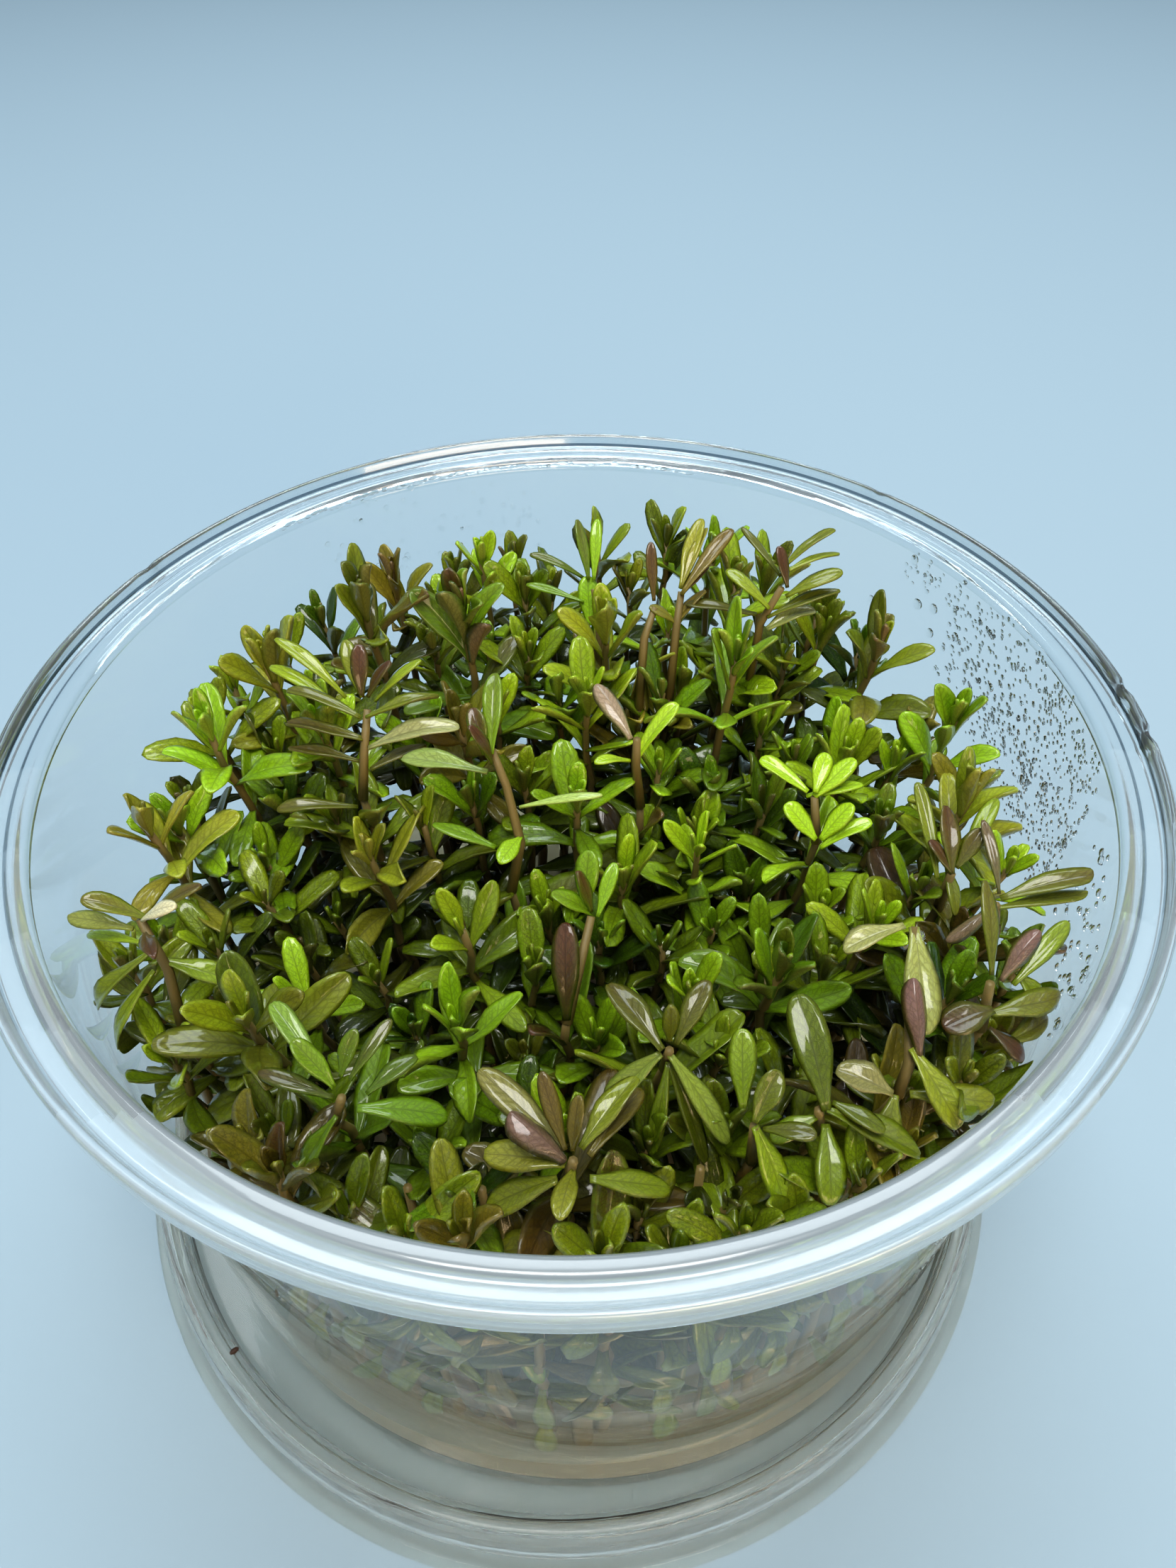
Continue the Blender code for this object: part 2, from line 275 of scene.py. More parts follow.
# Leaf tone: light, purple and fresh amounts come from the mesh, one value for each leaf; painted shade and light by
# place in the cup are laid over them
def makeToneGroup():
    group, given, result = startGroup(
        "leafTone",
        [("Dark", "NodeSocketColor", (0.03, 0.045, 0.006, 1)), ("Light", "NodeSocketColor", (0.16, 0.21, 0.02, 1)),
         ("Fresh", "NodeSocketColor", (0.42, 0.66, 0.018, 1)), ("Purple", "NodeSocketColor", (0.110, 0.045, 0.018, 1)),
         ("Underside", "NodeSocketColor", (0.30, 0.29, 0.08, 1)), ("Mauve", "NodeSocketColor", (0.36, 0.21, 0.18, 1)),
         ("Cream", "NodeSocketColor", (0.76, 0.72, 0.46, 1)), ("Vein Depth", "NodeSocketFloat", 0.60)],
        [("Colour", "NodeSocketColor"), ("Roughness", "NodeSocketFloat"), ("Height", "NodeSocketFloat")])
    tone = addNode(group, "ShaderNodeAttribute", "tone of the leaf", attribute_name="leafTone")
    split = addNode(group, "ShaderNodeSeparateColor", "light, purple, fresh")
    wire(group, tone.outputs["Color"], split.inputs[0])
    veins = addNode(group, "ShaderNodeGroup", "veins", node_tree=bpy.data.node_groups["leafVeins"])
    patches = addNode(group, "ShaderNodeTexNoise", "patches")
    patches.inputs["Scale"].default_value = 420.0
    patches.inputs["Detail"].default_value = 3.0
    spread = mathNode(group, "MULTIPLY", mathNode(group, "SUBTRACT", patches.outputs["Fac"], 0.5), 0.9)
    light = addNode(group, "ShaderNodeMath", "light amount", operation="ADD", use_clamp=True)
    wire(group, split.outputs[0], light.inputs[0])
    wire(group, spread, light.inputs[1])
    colour = mixColour(group, light.outputs[0], given.outputs["Dark"], given.outputs["Light"])
    colour = mixColour(group, split.outputs[2], colour, given.outputs["Fresh"])
    # purple gathers in the middle of the blade and leaves the margin green
    edge = mathNode(group, "SUBTRACT", mathNode(group, "ADD", mathNode(group, "MULTIPLY", veins.outputs["Along"], 0.5), 0.45),
                    mathNode(group, "MULTIPLY", mathNode(group, "POWER", veins.outputs["Across"], 3.0), 0.55))
    blush = addNode(group, "ShaderNodeMath", "blush", operation="MULTIPLY", use_clamp=True)
    wire(group, mathNode(group, "MULTIPLY", split.outputs[1], 1.25), blush.inputs[0])
    wire(group, mathNode(group, "ADD", edge, mathNode(group, "MULTIPLY", spread, 2.0)), blush.inputs[1])
    colour = mixColour(group, blush.outputs[0], colour, given.outputs["Purple"])
    below = mixColour(group, split.outputs[1], given.outputs["Underside"], given.outputs["Mauve"])
    colour = mixColour(group, mathNode(group, "MULTIPLY", veins.outputs["Underside"], 0.65), colour, below)
    colour = mixColour(group, tone.outputs["Alpha"], colour, given.outputs["Cream"])
    lines = mathNode(group, "MAXIMUM", veins.outputs["Veins"], veins.outputs["Midrib"])
    darker = addNode(group, "ShaderNodeMix", "darker veins", data_type="RGBA", blend_type="MULTIPLY")
    wire(group, mathNode(group, "MULTIPLY", lines, given.outputs["Vein Depth"]), darker.inputs[0])
    wire(group, colour, darker.inputs[6])
    darker.inputs[7].default_value = (0.25, 0.22, 0.12, 1)
    # painted shade and light by place in the cup: leaves low down and at the front are painted darker, the upper ones a
    # little lighter, and those close to the wall painted lighter
    spot = addNode(group, "ShaderNodeNewGeometry", "place in the cup")
    height = addNode(group, "ShaderNodeSeparateXYZ", "height in the cup")
    wire(group, spot.outputs["Position"], height.inputs[0])
    depth = addNode(group, "ShaderNodeMapRange", "painted shade low down")
    for socketName, value in (("From Min", 0.035), ("From Max", 0.053), ("To Min", 0.18), ("To Max", 1.08)):
        depth.inputs[socketName].default_value = value
    wire(group, height.outputs[2], depth.inputs["Value"])
    squares = mathNode(group, "ADD", mathNode(group, "MULTIPLY", height.outputs[0], height.outputs[0]),
                       mathNode(group, "MULTIPLY", height.outputs[1], height.outputs[1]))
    paintedWallLight = addNode(group, "ShaderNodeMapRange", "painted light near the wall")
    for socketName, value in (("From Min", 0.030), ("From Max", 0.037), ("To Min", 0.0), ("To Max", 0.8)):
        paintedWallLight.inputs[socketName].default_value = value
    wire(group, mathNode(group, "SQRT", squares), paintedWallLight.inputs["Value"])
    near = addNode(group, "ShaderNodeMapRange", "painted shade at the front")
    for socketName, value in (("From Min", -0.036), ("From Max", -0.014), ("To Min", 0.60), ("To Max", 1.0)):
        near.inputs[socketName].default_value = value
    wire(group, height.outputs[1], near.inputs["Value"])
    shade = mathNode(group, "MAXIMUM", mathNode(group, "MULTIPLY", depth.outputs[0], near.outputs[0]), paintedWallLight.outputs[0])
    margin = mathNode(group, "MULTIPLY", mathNode(group, "POWER", veins.outputs["Across"], 9.0), 0.55)
    paintedShade = addNode(group, "ShaderNodeVectorMath", "paintedShade", operation="SCALE")
    wire(group, mixColour(group, margin, darker.outputs[2], (0.05, 0.025, 0.008, 1), "dark margin"), paintedShade.inputs[0])
    wire(group, shade, paintedShade.inputs["Scale"])
    wire(group, paintedShade.outputs[0], result.inputs["Colour"])
    rough = addNode(group, "ShaderNodeMapRange", "roughness")
    rough.inputs["To Min"].default_value = 0.22
    rough.inputs["To Max"].default_value = 0.50
    wire(group, patches.outputs["Fac"], rough.inputs["Value"])
    wire(group, rough.outputs[0], result.inputs["Roughness"])
    sunk = mathNode(group, "MULTIPLY", lines, -0.6)
    wire(group, mathNode(group, "ADD", sunk, mathNode(group, "MULTIPLY", patches.outputs["Fac"], 0.8)),
         result.inputs["Height"])
    return group


foliage = {
    "olive": {"Dark": (0.036, 0.056, 0.002, 1), "Light": (0.360, 0.460, 0.018, 1)},
    "green": {"Dark": (0.036, 0.094, 0.002, 1), "Light": (0.350, 0.630, 0.016, 1)},
    "bronze": {"Dark": (0.062, 0.044, 0.004, 1), "Light": (0.370, 0.320, 0.034, 1)},
}


def makeLeafMaterial(name):
    made, tree, shader = newMaterial(name + "Leaf")
    tone = addNode(tree, "ShaderNodeGroup", "leaf tone", node_tree=bpy.data.node_groups["leafTone"])
    for socketName, value in foliage[name].items():
        tone.inputs[socketName].default_value = value
    wire(tree, tone.outputs["Colour"], shader.inputs["Base Color"])
    wire(tree, tone.outputs["Roughness"], shader.inputs["Roughness"])
    bump = addNode(tree, "ShaderNodeBump", "veins and skin")
    bump.inputs["Strength"].default_value = 0.35
    bump.inputs["Distance"].default_value = 0.00012
    wire(tree, tone.outputs["Height"], bump.inputs["Height"])
    wire(tree, bump.outputs[0], shader.inputs["Normal"])
    shader.inputs["Subsurface Weight"].default_value = 0.12
    shader.inputs["Subsurface Radius"].default_value = (0.75, 1.0, 0.08)
    shader.inputs["Subsurface Scale"].default_value = 0.0006
    shader.inputs["Specular IOR Level"].default_value = 0.3
    shader.inputs["Coat Weight"].default_value = 0.75
    shader.inputs["Coat Roughness"].default_value = 0.09
    return made


def makeStemMaterial():
    made, tree, shader = newMaterial("stemSkin")
    noise = addNode(tree, "ShaderNodeTexNoise", "streaks")
    noise.inputs["Scale"].default_value = 500.0
    noise.inputs["Detail"].default_value = 3.0
    colour = mixColour(tree, noise.outputs["Fac"], (0.13, 0.14, 0.03, 1), (0.30, 0.18, 0.08, 1))
    wire(tree, colour, shader.inputs["Base Color"])
    bump = addNode(tree, "ShaderNodeBump", "stem skin")
    bump.inputs["Strength"].default_value = 0.3
    bump.inputs["Distance"].default_value = 0.0001
    wire(tree, noise.outputs["Fac"], bump.inputs["Height"])
    wire(tree, bump.outputs[0], shader.inputs["Normal"])
    shader.inputs["Roughness"].default_value = 0.4
    shader.inputs["Subsurface Weight"].default_value = 0.2
    shader.inputs["Subsurface Radius"].default_value = (0.6, 0.8, 0.2)
    shader.inputs["Subsurface Scale"].default_value = 0.0006
    return made


# Streaks that run round a turned piece, from its own radius, height and slowly its angle
def makeStreakGroup():
    group, given, result = startGroup(
        "mouldStreaks",
        [("Fineness", "NodeSocketFloat", 900.0), ("Turns", "NodeSocketFloat", 0.004), ("Upright", "NodeSocketFloat", 1.0)],
        [("Streaks", "NodeSocketFloat"), ("Haze", "NodeSocketFloat")])
    spot = addNode(group, "ShaderNodeTexCoord", "place")
    split = addNode(group, "ShaderNodeSeparateXYZ", "x, y, height")
    wire(group, spot.outputs["Object"], split.inputs[0])
    squares = mathNode(group, "ADD", mathNode(group, "MULTIPLY", split.outputs[0], split.outputs[0]),
                       mathNode(group, "MULTIPLY", split.outputs[1], split.outputs[1]))
    angle = mathNode(group, "ARCTAN2", split.outputs[1], split.outputs[0])
    join = addNode(group, "ShaderNodeCombineXYZ", "radius, height, angle")
    wire(group, mathNode(group, "SQRT", squares), join.inputs[0])
    wire(group, mathNode(group, "MULTIPLY", split.outputs[2], given.outputs["Upright"]), join.inputs[1])
    wire(group, mathNode(group, "MULTIPLY", angle, given.outputs["Turns"]), join.inputs[2])
    for label, detail, factor in (("Streaks", 2.0, 1.0), ("Haze", 4.0, 0.35)):
        noise = addNode(group, "ShaderNodeTexNoise", label.lower())
        noise.inputs["Detail"].default_value = detail
        wire(group, join.outputs[0], noise.inputs["Vector"])
        wire(group, mathNode(group, "MULTIPLY", given.outputs["Fineness"], factor), noise.inputs["Scale"])
        wire(group, noise.outputs["Fac"], result.inputs[label])
    return group


# clearness is how much light goes through; the rest scatters in the milky plastic
clear = {
    "wall": {"colour": (1.0, 0.998, 0.985, 1), "ior": 1.20, "rough": (0.0, 0.03), "clearness": 0.988,
             "Fineness": 110.0, "Turns": 0.040, "Upright": 0.2, "bump": 0.10, "coat": (0.0, 0.0)},
    "frontWall": {"colour": (1.0, 0.985, 0.910, 1), "ior": 1.18, "rough": (0.0, 0.03), "clearness": 0.992,
                  "Fineness": 110.0, "Turns": 0.040, "Upright": 0.2, "bump": 0.10, "coat": (0.0, 0.0)},
    "foggy": {"colour": (0.990, 1.0, 1.0, 1), "ior": 1.20, "rough": (0.02, 0.10), "clearness": 0.97,
              "Fineness": 160.0, "Turns": 0.060, "Upright": 0.6, "bump": 0.10, "coat": (0.0, 0.0)},
    # bluish milky rim colours: painted sheen and reflection of the light, strongest at the front
    "rimFrontPaintedSheen": {"colour": (0.820, 0.935, 1.0, 1), "ior": 1.45, "rough": (0.02, 0.16), "clearness": 0.68,
                 "Fineness": 900.0, "Turns": 0.0035, "Upright": 1.0, "bump": 0.08, "coat": (0.8, 0.25)},
    "rimRear": {"colour": (0.900, 0.970, 1.0, 1), "ior": 1.50, "rough": (0.0, 0.05), "clearness": 0.94,
                "Fineness": 1500.0, "Turns": 0.0035, "Upright": 1.0, "bump": 0.08, "coat": (0.5, 0.12)},
    # edgeRear: strips of the lip's bead painted dark, a painted reflection of the darker room behind
    "edgeRear": {"colour": (0.080, 0.110, 0.140, 1), "ior": 1.50, "rough": (0.0, 0.05), "clearness": 0.95,
                 "Fineness": 1500.0, "Turns": 0.0035, "Upright": 1.0, "bump": 0.08, "coat": (0.3, 0.10)},
    "lid": {"colour": (1.0, 0.985, 0.925, 1), "ior": 1.22, "rough": (0.0, 0.05), "clearness": 0.97,
            "Fineness": 900.0, "Turns": 0.006, "Upright": 1.0, "bump": 0.08, "coat": (0.0, 0.0)},
}
# The lip is painted milkier and bluer in steps towards the viewer, who sees its front along the plastic: a painted
# sheen of the light on its front, to which the dark strips fade too. y in mm of the steps
paintedLipSteps = (-4.0, -12.0, -20.0, -27.0, -33.0)
cupParts = ("wall", "foggy", "frontWall") + tuple(f"{kind}{step}" for kind in ("rim", "edge") for step in range(len(paintedLipSteps) + 1))


def clearValues(name):
    # the values of a clear plastic, for a step of the lip part of the way from its rear to its front
    if name in clear:
        return clear[name]
    rear, front, share = clear[name[:-1] + "Rear"], clear["rimFrontPaintedSheen"], int(name[-1]) / len(paintedLipSteps)
    values = {}
    for key, value in rear.items():
        if isinstance(value, tuple):
            values[key] = tuple(a + (b - a) * share for a, b in zip(value, front[key]))
        else:
            values[key] = value + (front[key] - value) * share
    return values


def makeClearPlastic(name):
    # moulded plastic, whose waves and streaks break up the reflections
    made, tree, shader = newMaterial(name + "Plastic")
    values = clearValues(name)
    streaks = addNode(tree, "ShaderNodeGroup", "mould streaks", node_tree=bpy.data.node_groups["mouldStreaks"])
    for socketName in ("Fineness", "Turns", "Upright"):
        streaks.inputs[socketName].default_value = values[socketName]
    bump = addNode(tree, "ShaderNodeBump", "moulding")
    bump.inputs["Strength"].default_value = values["bump"]
    bump.inputs["Distance"].default_value = 0.0003
    wire(tree, streaks.outputs["Streaks"], bump.inputs["Height"])
    wire(tree, bump.outputs[0], shader.inputs["Normal"])
    rough = addNode(tree, "ShaderNodeMapRange", "roughness")
    rough.inputs["From Min"].default_value = 0.3
    rough.inputs["From Max"].default_value = 0.7
    rough.inputs["To Min"].default_value = values["rough"][0]
    rough.inputs["To Max"].default_value = values["rough"][1]
    wire(tree, streaks.outputs["Haze"], rough.inputs["Value"])
    wire(tree, rough.outputs[0], shader.inputs["Roughness"])
    shader.inputs["Base Color"].default_value = values["colour"]
    shader.inputs["IOR"].default_value = values["ior"]
    shader.inputs["Transmission Weight"].default_value = values["clearness"]
    shader.inputs["Coat Weight"].default_value = values["coat"][0]
    shader.inputs["Coat Roughness"].default_value = values["coat"][1]
    return made


def makeGelMaterial():
    made, tree, shader = newMaterial("nutrientGel")
    cloud = addNode(tree, "ShaderNodeTexNoise", "cloudy gel")
    cloud.inputs["Scale"].default_value = 70.0
    cloud.inputs["Detail"].default_value = 4.0
    colour = mixColour(tree, cloud.outputs["Fac"], (1.0, 0.93, 0.72, 1), (0.97, 0.88, 0.60, 1))
    wire(tree, colour, shader.inputs["Base Color"])
    shader.inputs["Roughness"].default_value = 0.12
    shader.inputs["IOR"].default_value = 1.12
    shader.inputs["Transmission Weight"].default_value = 0.70
    return made


def makeWaterMaterial():
    made, tree, shader = newMaterial("waterDrops")
    shader.inputs["Base Color"].default_value = (0.99, 1.0, 1.0, 1)
    shader.inputs["Roughness"].default_value = 0.0
    shader.inputs["IOR"].default_value = 1.33
    shader.inputs["Transmission Weight"].default_value = 1.0
    return made


def makeRootMaterial():
    made, tree, shader = newMaterial("rootThreads")
    noise = addNode(tree, "ShaderNodeTexNoise", "root tone")
    noise.inputs["Scale"].default_value = 300.0
    wire(tree, mixColour(tree, noise.outputs["Fac"], (0.10, 0.06, 0.03, 1), (0.42, 0.36, 0.24, 1)),
         shader.inputs["Base Color"])
    shader.inputs["Roughness"].default_value = 0.5
    return made


def makeSpeckMaterial():
    made, tree, shader = newMaterial("darkSpeck")
    shader.inputs["Base Color"].default_value = (0.05, 0.025, 0.015, 1)
    shader.inputs["Roughness"].default_value = 0.6
    return made


def makeFloorMaterial():
    made, tree, shader = newMaterial("paleFloor")
    shader.inputs["Base Color"].default_value = view["floorColour"]
    shader.inputs["Roughness"].default_value = 0.9
    shader.inputs["Specular IOR Level"].default_value = 0.1
    return made


# Turned clear pieces
def roundedProfile(corners, steps=5):
    # corners are (radius, height, rounding) in mm; a rounding of 0 stays sharp
    path = []
    for number, (x, y, rounding) in enumerate(corners):
        here = Vector((x, y))
        if rounding == 0 or number in (0, len(corners) - 1):
            path.append(here)
            continue
        before = Vector(corners[number - 1][:2]) - here
        after = Vector(corners[number + 1][:2]) - here
        cut = min(rounding, before.length * 0.48, after.length * 0.48)
        start, end = here + before.normalized() * cut, here + after.normalized() * cut
        for step in range(steps + 1):
            share = step / steps
            path.append(start * (1 - share) ** 2 + here * 2 * share * (1 - share) + end * share ** 2)
    return path


def turnedPiece(name, corners, centre, material, around=192):
    path = roundedProfile(corners)
    rings = path[1:-1]
    verts = [(0.0, 0.0, path[0].y)]
    for point in rings:
        for step in range(around):
            angle = math.tau * step / around
            verts.append((point.x * math.cos(angle), point.x * math.sin(angle), point.y))
    verts.append((0.0, 0.0, path[-1].y))
    last = len(verts) - 1
    faces = []
    for step in range(around):
        following = (step + 1) % around
        faces.append((0, 1 + following, 1 + step))
        for ring in range(len(rings) - 1):
            low, high = 1 + ring * around, 1 + (ring + 1) * around
            faces.append((low + step, low + following, high + following, high + step))
        top = 1 + (len(rings) - 1) * around
        faces.append((top + step, top + following, last))
    mesh = bpy.data.meshes.new(name)
    mesh.from_pydata([Vector(v) * mm for v in verts], [], faces)
    mesh.materials.append(material)
    mesh.shade_smooth()
    mesh.set_sharp_from_angle(angle=math.radians(40))
    piece = bpy.data.objects.new(name, mesh)
    piece.location = Vector(centre) * mm
    bpy.context.scene.collection.objects.link(piece)
    return piece


# Small nicks in the flange's edge: azimuth in degrees, then depth and half width in mm
nicks = ((-4.0, 0.35, 0.5), (2.5, 0.30, 0.4), (152.0, 0.25, 0.8), (47.0, 0.20, 0.5))


# Fine mist on the inside of the wall, from this height over the foot and behind this y; in front of the last y
# the wall is dry and looks a little warmer
fog = {"from": 34.0, "behind": -14.0, "warmFront": -30.0}


def cupPart(spot, inner):
    # which look a face of the cup has, from its middle in mm
    reach = math.hypot(spot.x, spot.y)
    lip, flange = cup["lip"], cup["flangeRadius"]
    # strips of the lip's bead painted dark: a painted reflection of the dark room, fading towards the front
    paintedReflectionStrips = ((flange - 0.22, flange + 1.0), (flange - 1.02, flange - 0.85), (inner + 1.2, inner + 1.6))
    step = sum(spot.y < limit for limit in paintedLipSteps)
    if spot.z > lip - 0.35 and any(low < reach < high for low, high in paintedReflectionStrips):
        return f"edge{step}"
    if spot.z > lip - 2.0:
        return f"rim{step}"
    if spot.z > fog["from"] and reach < inner + 0.2 and spot.y > fog["behind"]:
        return "foggy"
    return "frontWall" if spot.y < fog["warmFront"] else "wall"


def addCup(materials):
    lip, foot, flange = cup["lip"], cup["footRadius"], cup["flangeRadius"]
    inner = innerRadius(lipHeight)
    outer, plate = inner + cup["wall"], lip - 0.3
    corners = (
        (0.0, 0.9, 0), (foot - 2.3, 0.9, 0.4), (foot - 1.9, 0.0, 0.4), (foot - 0.5, 0.0, 0.5), (foot, 0.6, 0.8),
        (outer, plate - cup["wall"] - 0.5, 0.4), (outer + 0.5, plate - cup["wall"], 0.4),
        (flange - cup["wall"], plate - cup["wall"], 0.3), (flange - cup["wall"], lip - 1.5, 0.25),
        (flange, lip - 1.3, 0.25), (flange, lip + 0.5, 0.35), (flange - 0.3, lip + 0.9, 0.3),
        (flange - 0.7, lip + 0.7, 0.3), (flange - 1.0, plate, 0.4), (outer + 0.9, plate, 0.3),
        (outer + 0.5, lip, 0.3), (inner + 0.3, lip, 0.3), (inner, lip - 0.4, 0.3),
        (innerRadius(cup["foot"] + fog["from"]), fog["from"], 0),
        (innerRadius(cup["foot"] + 2.6), 2.6, 1.2), (innerRadius(cup["foot"]) - 0.8, cup["floor"], 0.8),
        (0.0, cup["floor"], 0),
    )
    piece = turnedPiece("clearCup", corners, (cup["axisX"], 0, cup["foot"]), materials["wall"], 256)
    for name in cupParts[1:]:
        piece.data.materials.append(materials[name])
    for face in piece.data.polygons:
        face.material_index = cupParts.index(cupPart(face.center / mm, inner))
    for point in piece.data.vertices:
        reach = math.hypot(point.co.x, point.co.y) / mm
        for azimuth, depth, half in nicks:
            along = math.atan2(point.co.y, point.co.x) - math.radians(azimuth)
            if reach > flange - 0.5 and abs(math.sin(along / 2)) * 2 * reach < half:
                point.co.x *= 1 - depth / reach
                point.co.y *= 1 - depth / reach
    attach(piece, "root")
    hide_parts("cup")


lid = {"skirt": 48.0, "rim": 46.0, "rimTop": 8.1, "panel": 43.4, "panelTop": 4.4, "wall": 0.8, "bead": 1.0}


def addLid(material):
    bead, wall = lid["bead"], lid["wall"]
    under = lid["panelTop"] - wall
    corners = (
        (0.0, under, 0), (lid["panel"] + wall, under, 0.4), (lid["panel"] + wall + 0.1, lid["rimTop"] - wall, 0.3),
        (lid["rim"] - wall, lid["rimTop"] - wall, 0.3), (lid["rim"] - wall + 0.3, 2 * bead, 0.6),
        (lid["skirt"] - 1.3 * bead, 0.0, 0.3), (lid["skirt"], 0.0, 0.25), (lid["skirt"], bead, 0.35),
        (lid["rim"] + 0.9, 2 * bead, 0.4), (lid["rim"], lid["rimTop"] - 0.7, 0.4),
        (lid["rim"] - 0.6, lid["rimTop"], 0.4), (lid["panel"] + 0.9, lid["rimTop"], 0.4),
        (lid["panel"] + 0.3, lid["rimTop"] - 0.7, 0.4), (lid["panel"], lid["panelTop"], 0.5),
        (0.0, lid["panelTop"], 0),
    )
    piece = turnedPiece("clearLid", corners, (0, 0, 0), material)
    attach(piece, "root")
    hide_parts("lid")


def addGel(material):
    top, floor, foot = cup["gelTop"], cup["floor"], cup["foot"]
    contact = 0.1                # sinks this far into the plastic, as wet gel clings to it
    corners = (
        (0.0, floor - contact, 0), (innerRadius(foot) - 0.9, floor - contact, 0.4),
        (innerRadius(foot + 3.0) + contact, 3.0, 0.6), (innerRadius(foot + top + 0.4) + contact, top + 0.4, 0.15),
        (innerRadius(foot + top) - 1.4, top, 0.9), (0.0, top, 0),
    )
    piece = turnedPiece("gelBed", corners, (cup["axisX"], 0, foot), material)
    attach(piece, "root")
    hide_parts("gel")


# Leaves, as numpy grids: a closed thin blade with a sunk midrib
leafForm = {
    "thickness": 0.34,
    "fine": {"along": (0, 0.08, 0.2, 0.34, 0.48, 0.62, 0.75, 0.86, 0.94, 0.985), "across": (1, 0.62, 0.2, 0)},
    "plain": {"along": (0, 0.15, 0.38, 0.62, 0.82, 0.95), "across": (1, 0.5, 0)},
}


def leafOutline(along):
    widening = np.clip(along / 0.58, 0, 1)
    widening = 0.30 + 0.70 * widening ** 2 * (3 - 2 * widening)
    rounding = np.sqrt(np.clip(1 - (np.clip(along - 0.62, 0, 1) / 0.382) ** 2.4, 0, 1))
    return widening * rounding


def leafTopology(detail):
    columns = len(leafForm[detail]["across"])
    ring = 4 * columns - 4
    stations = len(leafForm[detail]["along"])
    faces = []
    for station in range(stations - 1):
        for number in range(ring):
            following = (number + 1) % ring
            low, high = station * ring, (station + 1) * ring
            faces.append((low + number, high + number, high + following, low + following))
    tip = stations * ring
    top = (stations - 1) * ring
    faces += [(top + number, tip, top + (number + 1) % ring) for number in range(ring)]
    faces.append(tuple(range(ring)))
    return faces, ring


def crossSection(detail):
    # runs once round the blade: over the top from one edge to the other, then back below
    half = leafForm[detail]["across"]
    across = list(half) + [-value for value in reversed(half[:-1])]
    top = [(value, 1.0) for value in across]
    bottom = [(value, -1.0) for value in reversed(across[1:-1])]
    return np.array(top + bottom)


topology = {detail: leafTopology(detail) for detail in ("fine", "plain")}
sections = {detail: crossSection(detail) for detail in ("fine", "plain")}


def leafBlade(detail, start, turn, rise, droop, length, width, bend, twist, curl, rolled=0.0):
    # mm and radians; returns the points and each point's place on the leaf
    along = np.array(leafForm[detail]["along"] + (1.0,))
    section = sections[detail]
    steps = np.diff(along, prepend=0.0)
    middle = along - steps / 2
    slope = rise - droop * middle ** 1.3
    heading = turn + bend * middle
    direction = np.stack([np.cos(slope) * np.cos(heading), np.cos(slope) * np.sin(heading), np.sin(slope)], 1)
    centre = np.array(start) + np.cumsum(direction * steps[:, None] * length, 0)
    slope = rise - droop * along ** 1.3
    heading = turn + bend * along
    forward = np.stack([np.cos(slope) * np.cos(heading), np.cos(slope) * np.sin(heading), np.sin(slope)], 1)
    sideways = np.stack([-np.sin(heading), np.cos(heading), np.zeros_like(heading)], 1)
    lift = np.cross(forward, sideways)
    roll = (rolled + twist * along)[:, None]
    sideways, lift = np.cos(roll) * sideways + np.sin(roll) * lift, np.cos(roll) * lift - np.sin(roll) * sideways
    half = (width / 2 * leafOutline(along[:-1]))[:, None]
    s, face = section[:, 0][None, :], section[:, 1][None, :]
    body = leafForm["thickness"] / 2 * np.sqrt(np.clip(1 - s ** 2, 0, 1)) * face
    channel = -0.10 * half * np.exp(-(s / 0.16) ** 2) * (1 - along[:-1, None])
    # the margins curl up unevenly along the blade, the two sides not alike
    uneven = np.sin(along[:-1, None] * 7.0 + bend * 30.0 + s * 1.2)
    cupped = curl * half * np.abs(s) ** 1.4 * (1 + 0.45 * uneven)
    height = body + channel + cupped
    points = (centre[:-1, None, :] + (s * half)[:, :, None] * sideways[:-1, None, :]
              + height[:, :, None] * lift[:-1, None, :])
    points = np.concatenate([points.reshape(-1, 3), centre[-1:]])
    place = np.zeros((len(along) - 1, len(section), 3))
    place[:, :, 0] = s
    place[:, :, 1] = along[:-1, None]
    place[:, :, 2] = (face < 0) * (np.abs(s) < 0.99)
    place = np.concatenate([place.reshape(-1, 3), [[0, 1, 0]]])
    return points, place


def stemTube(path, radii, sides=7):
    # a closed tube along a path, both in mm
    path = np.array(path)
    forward = np.gradient(path, axis=0)
    forward /= np.linalg.norm(forward, axis=1)[:, None]
    aside = np.cross(forward, (0.31, 0.95, 0.02))
    aside /= np.linalg.norm(aside, axis=1)[:, None]
    other = np.cross(forward, aside)
    angle = np.linspace(0, math.tau, sides, endpoint=False)
    ring = np.cos(angle)[None, :, None] * aside[:, None, :] + np.sin(angle)[None, :, None] * other[:, None, :]
    points = (path[:, None, :] + ring * np.array(radii)[:, None, None]).reshape(-1, 3)
    faces = []
    for station in range(len(path) - 1):
        low, high = station * sides, (station + 1) * sides
        for number in range(sides):
            following = (number + 1) % sides
            faces.append((low + number, low + following, high + following, high + number))
    faces.append(tuple(reversed(range(sides))))
    faces.append(tuple((len(path) - 1) * sides + number for number in range(sides)))
    return points, faces


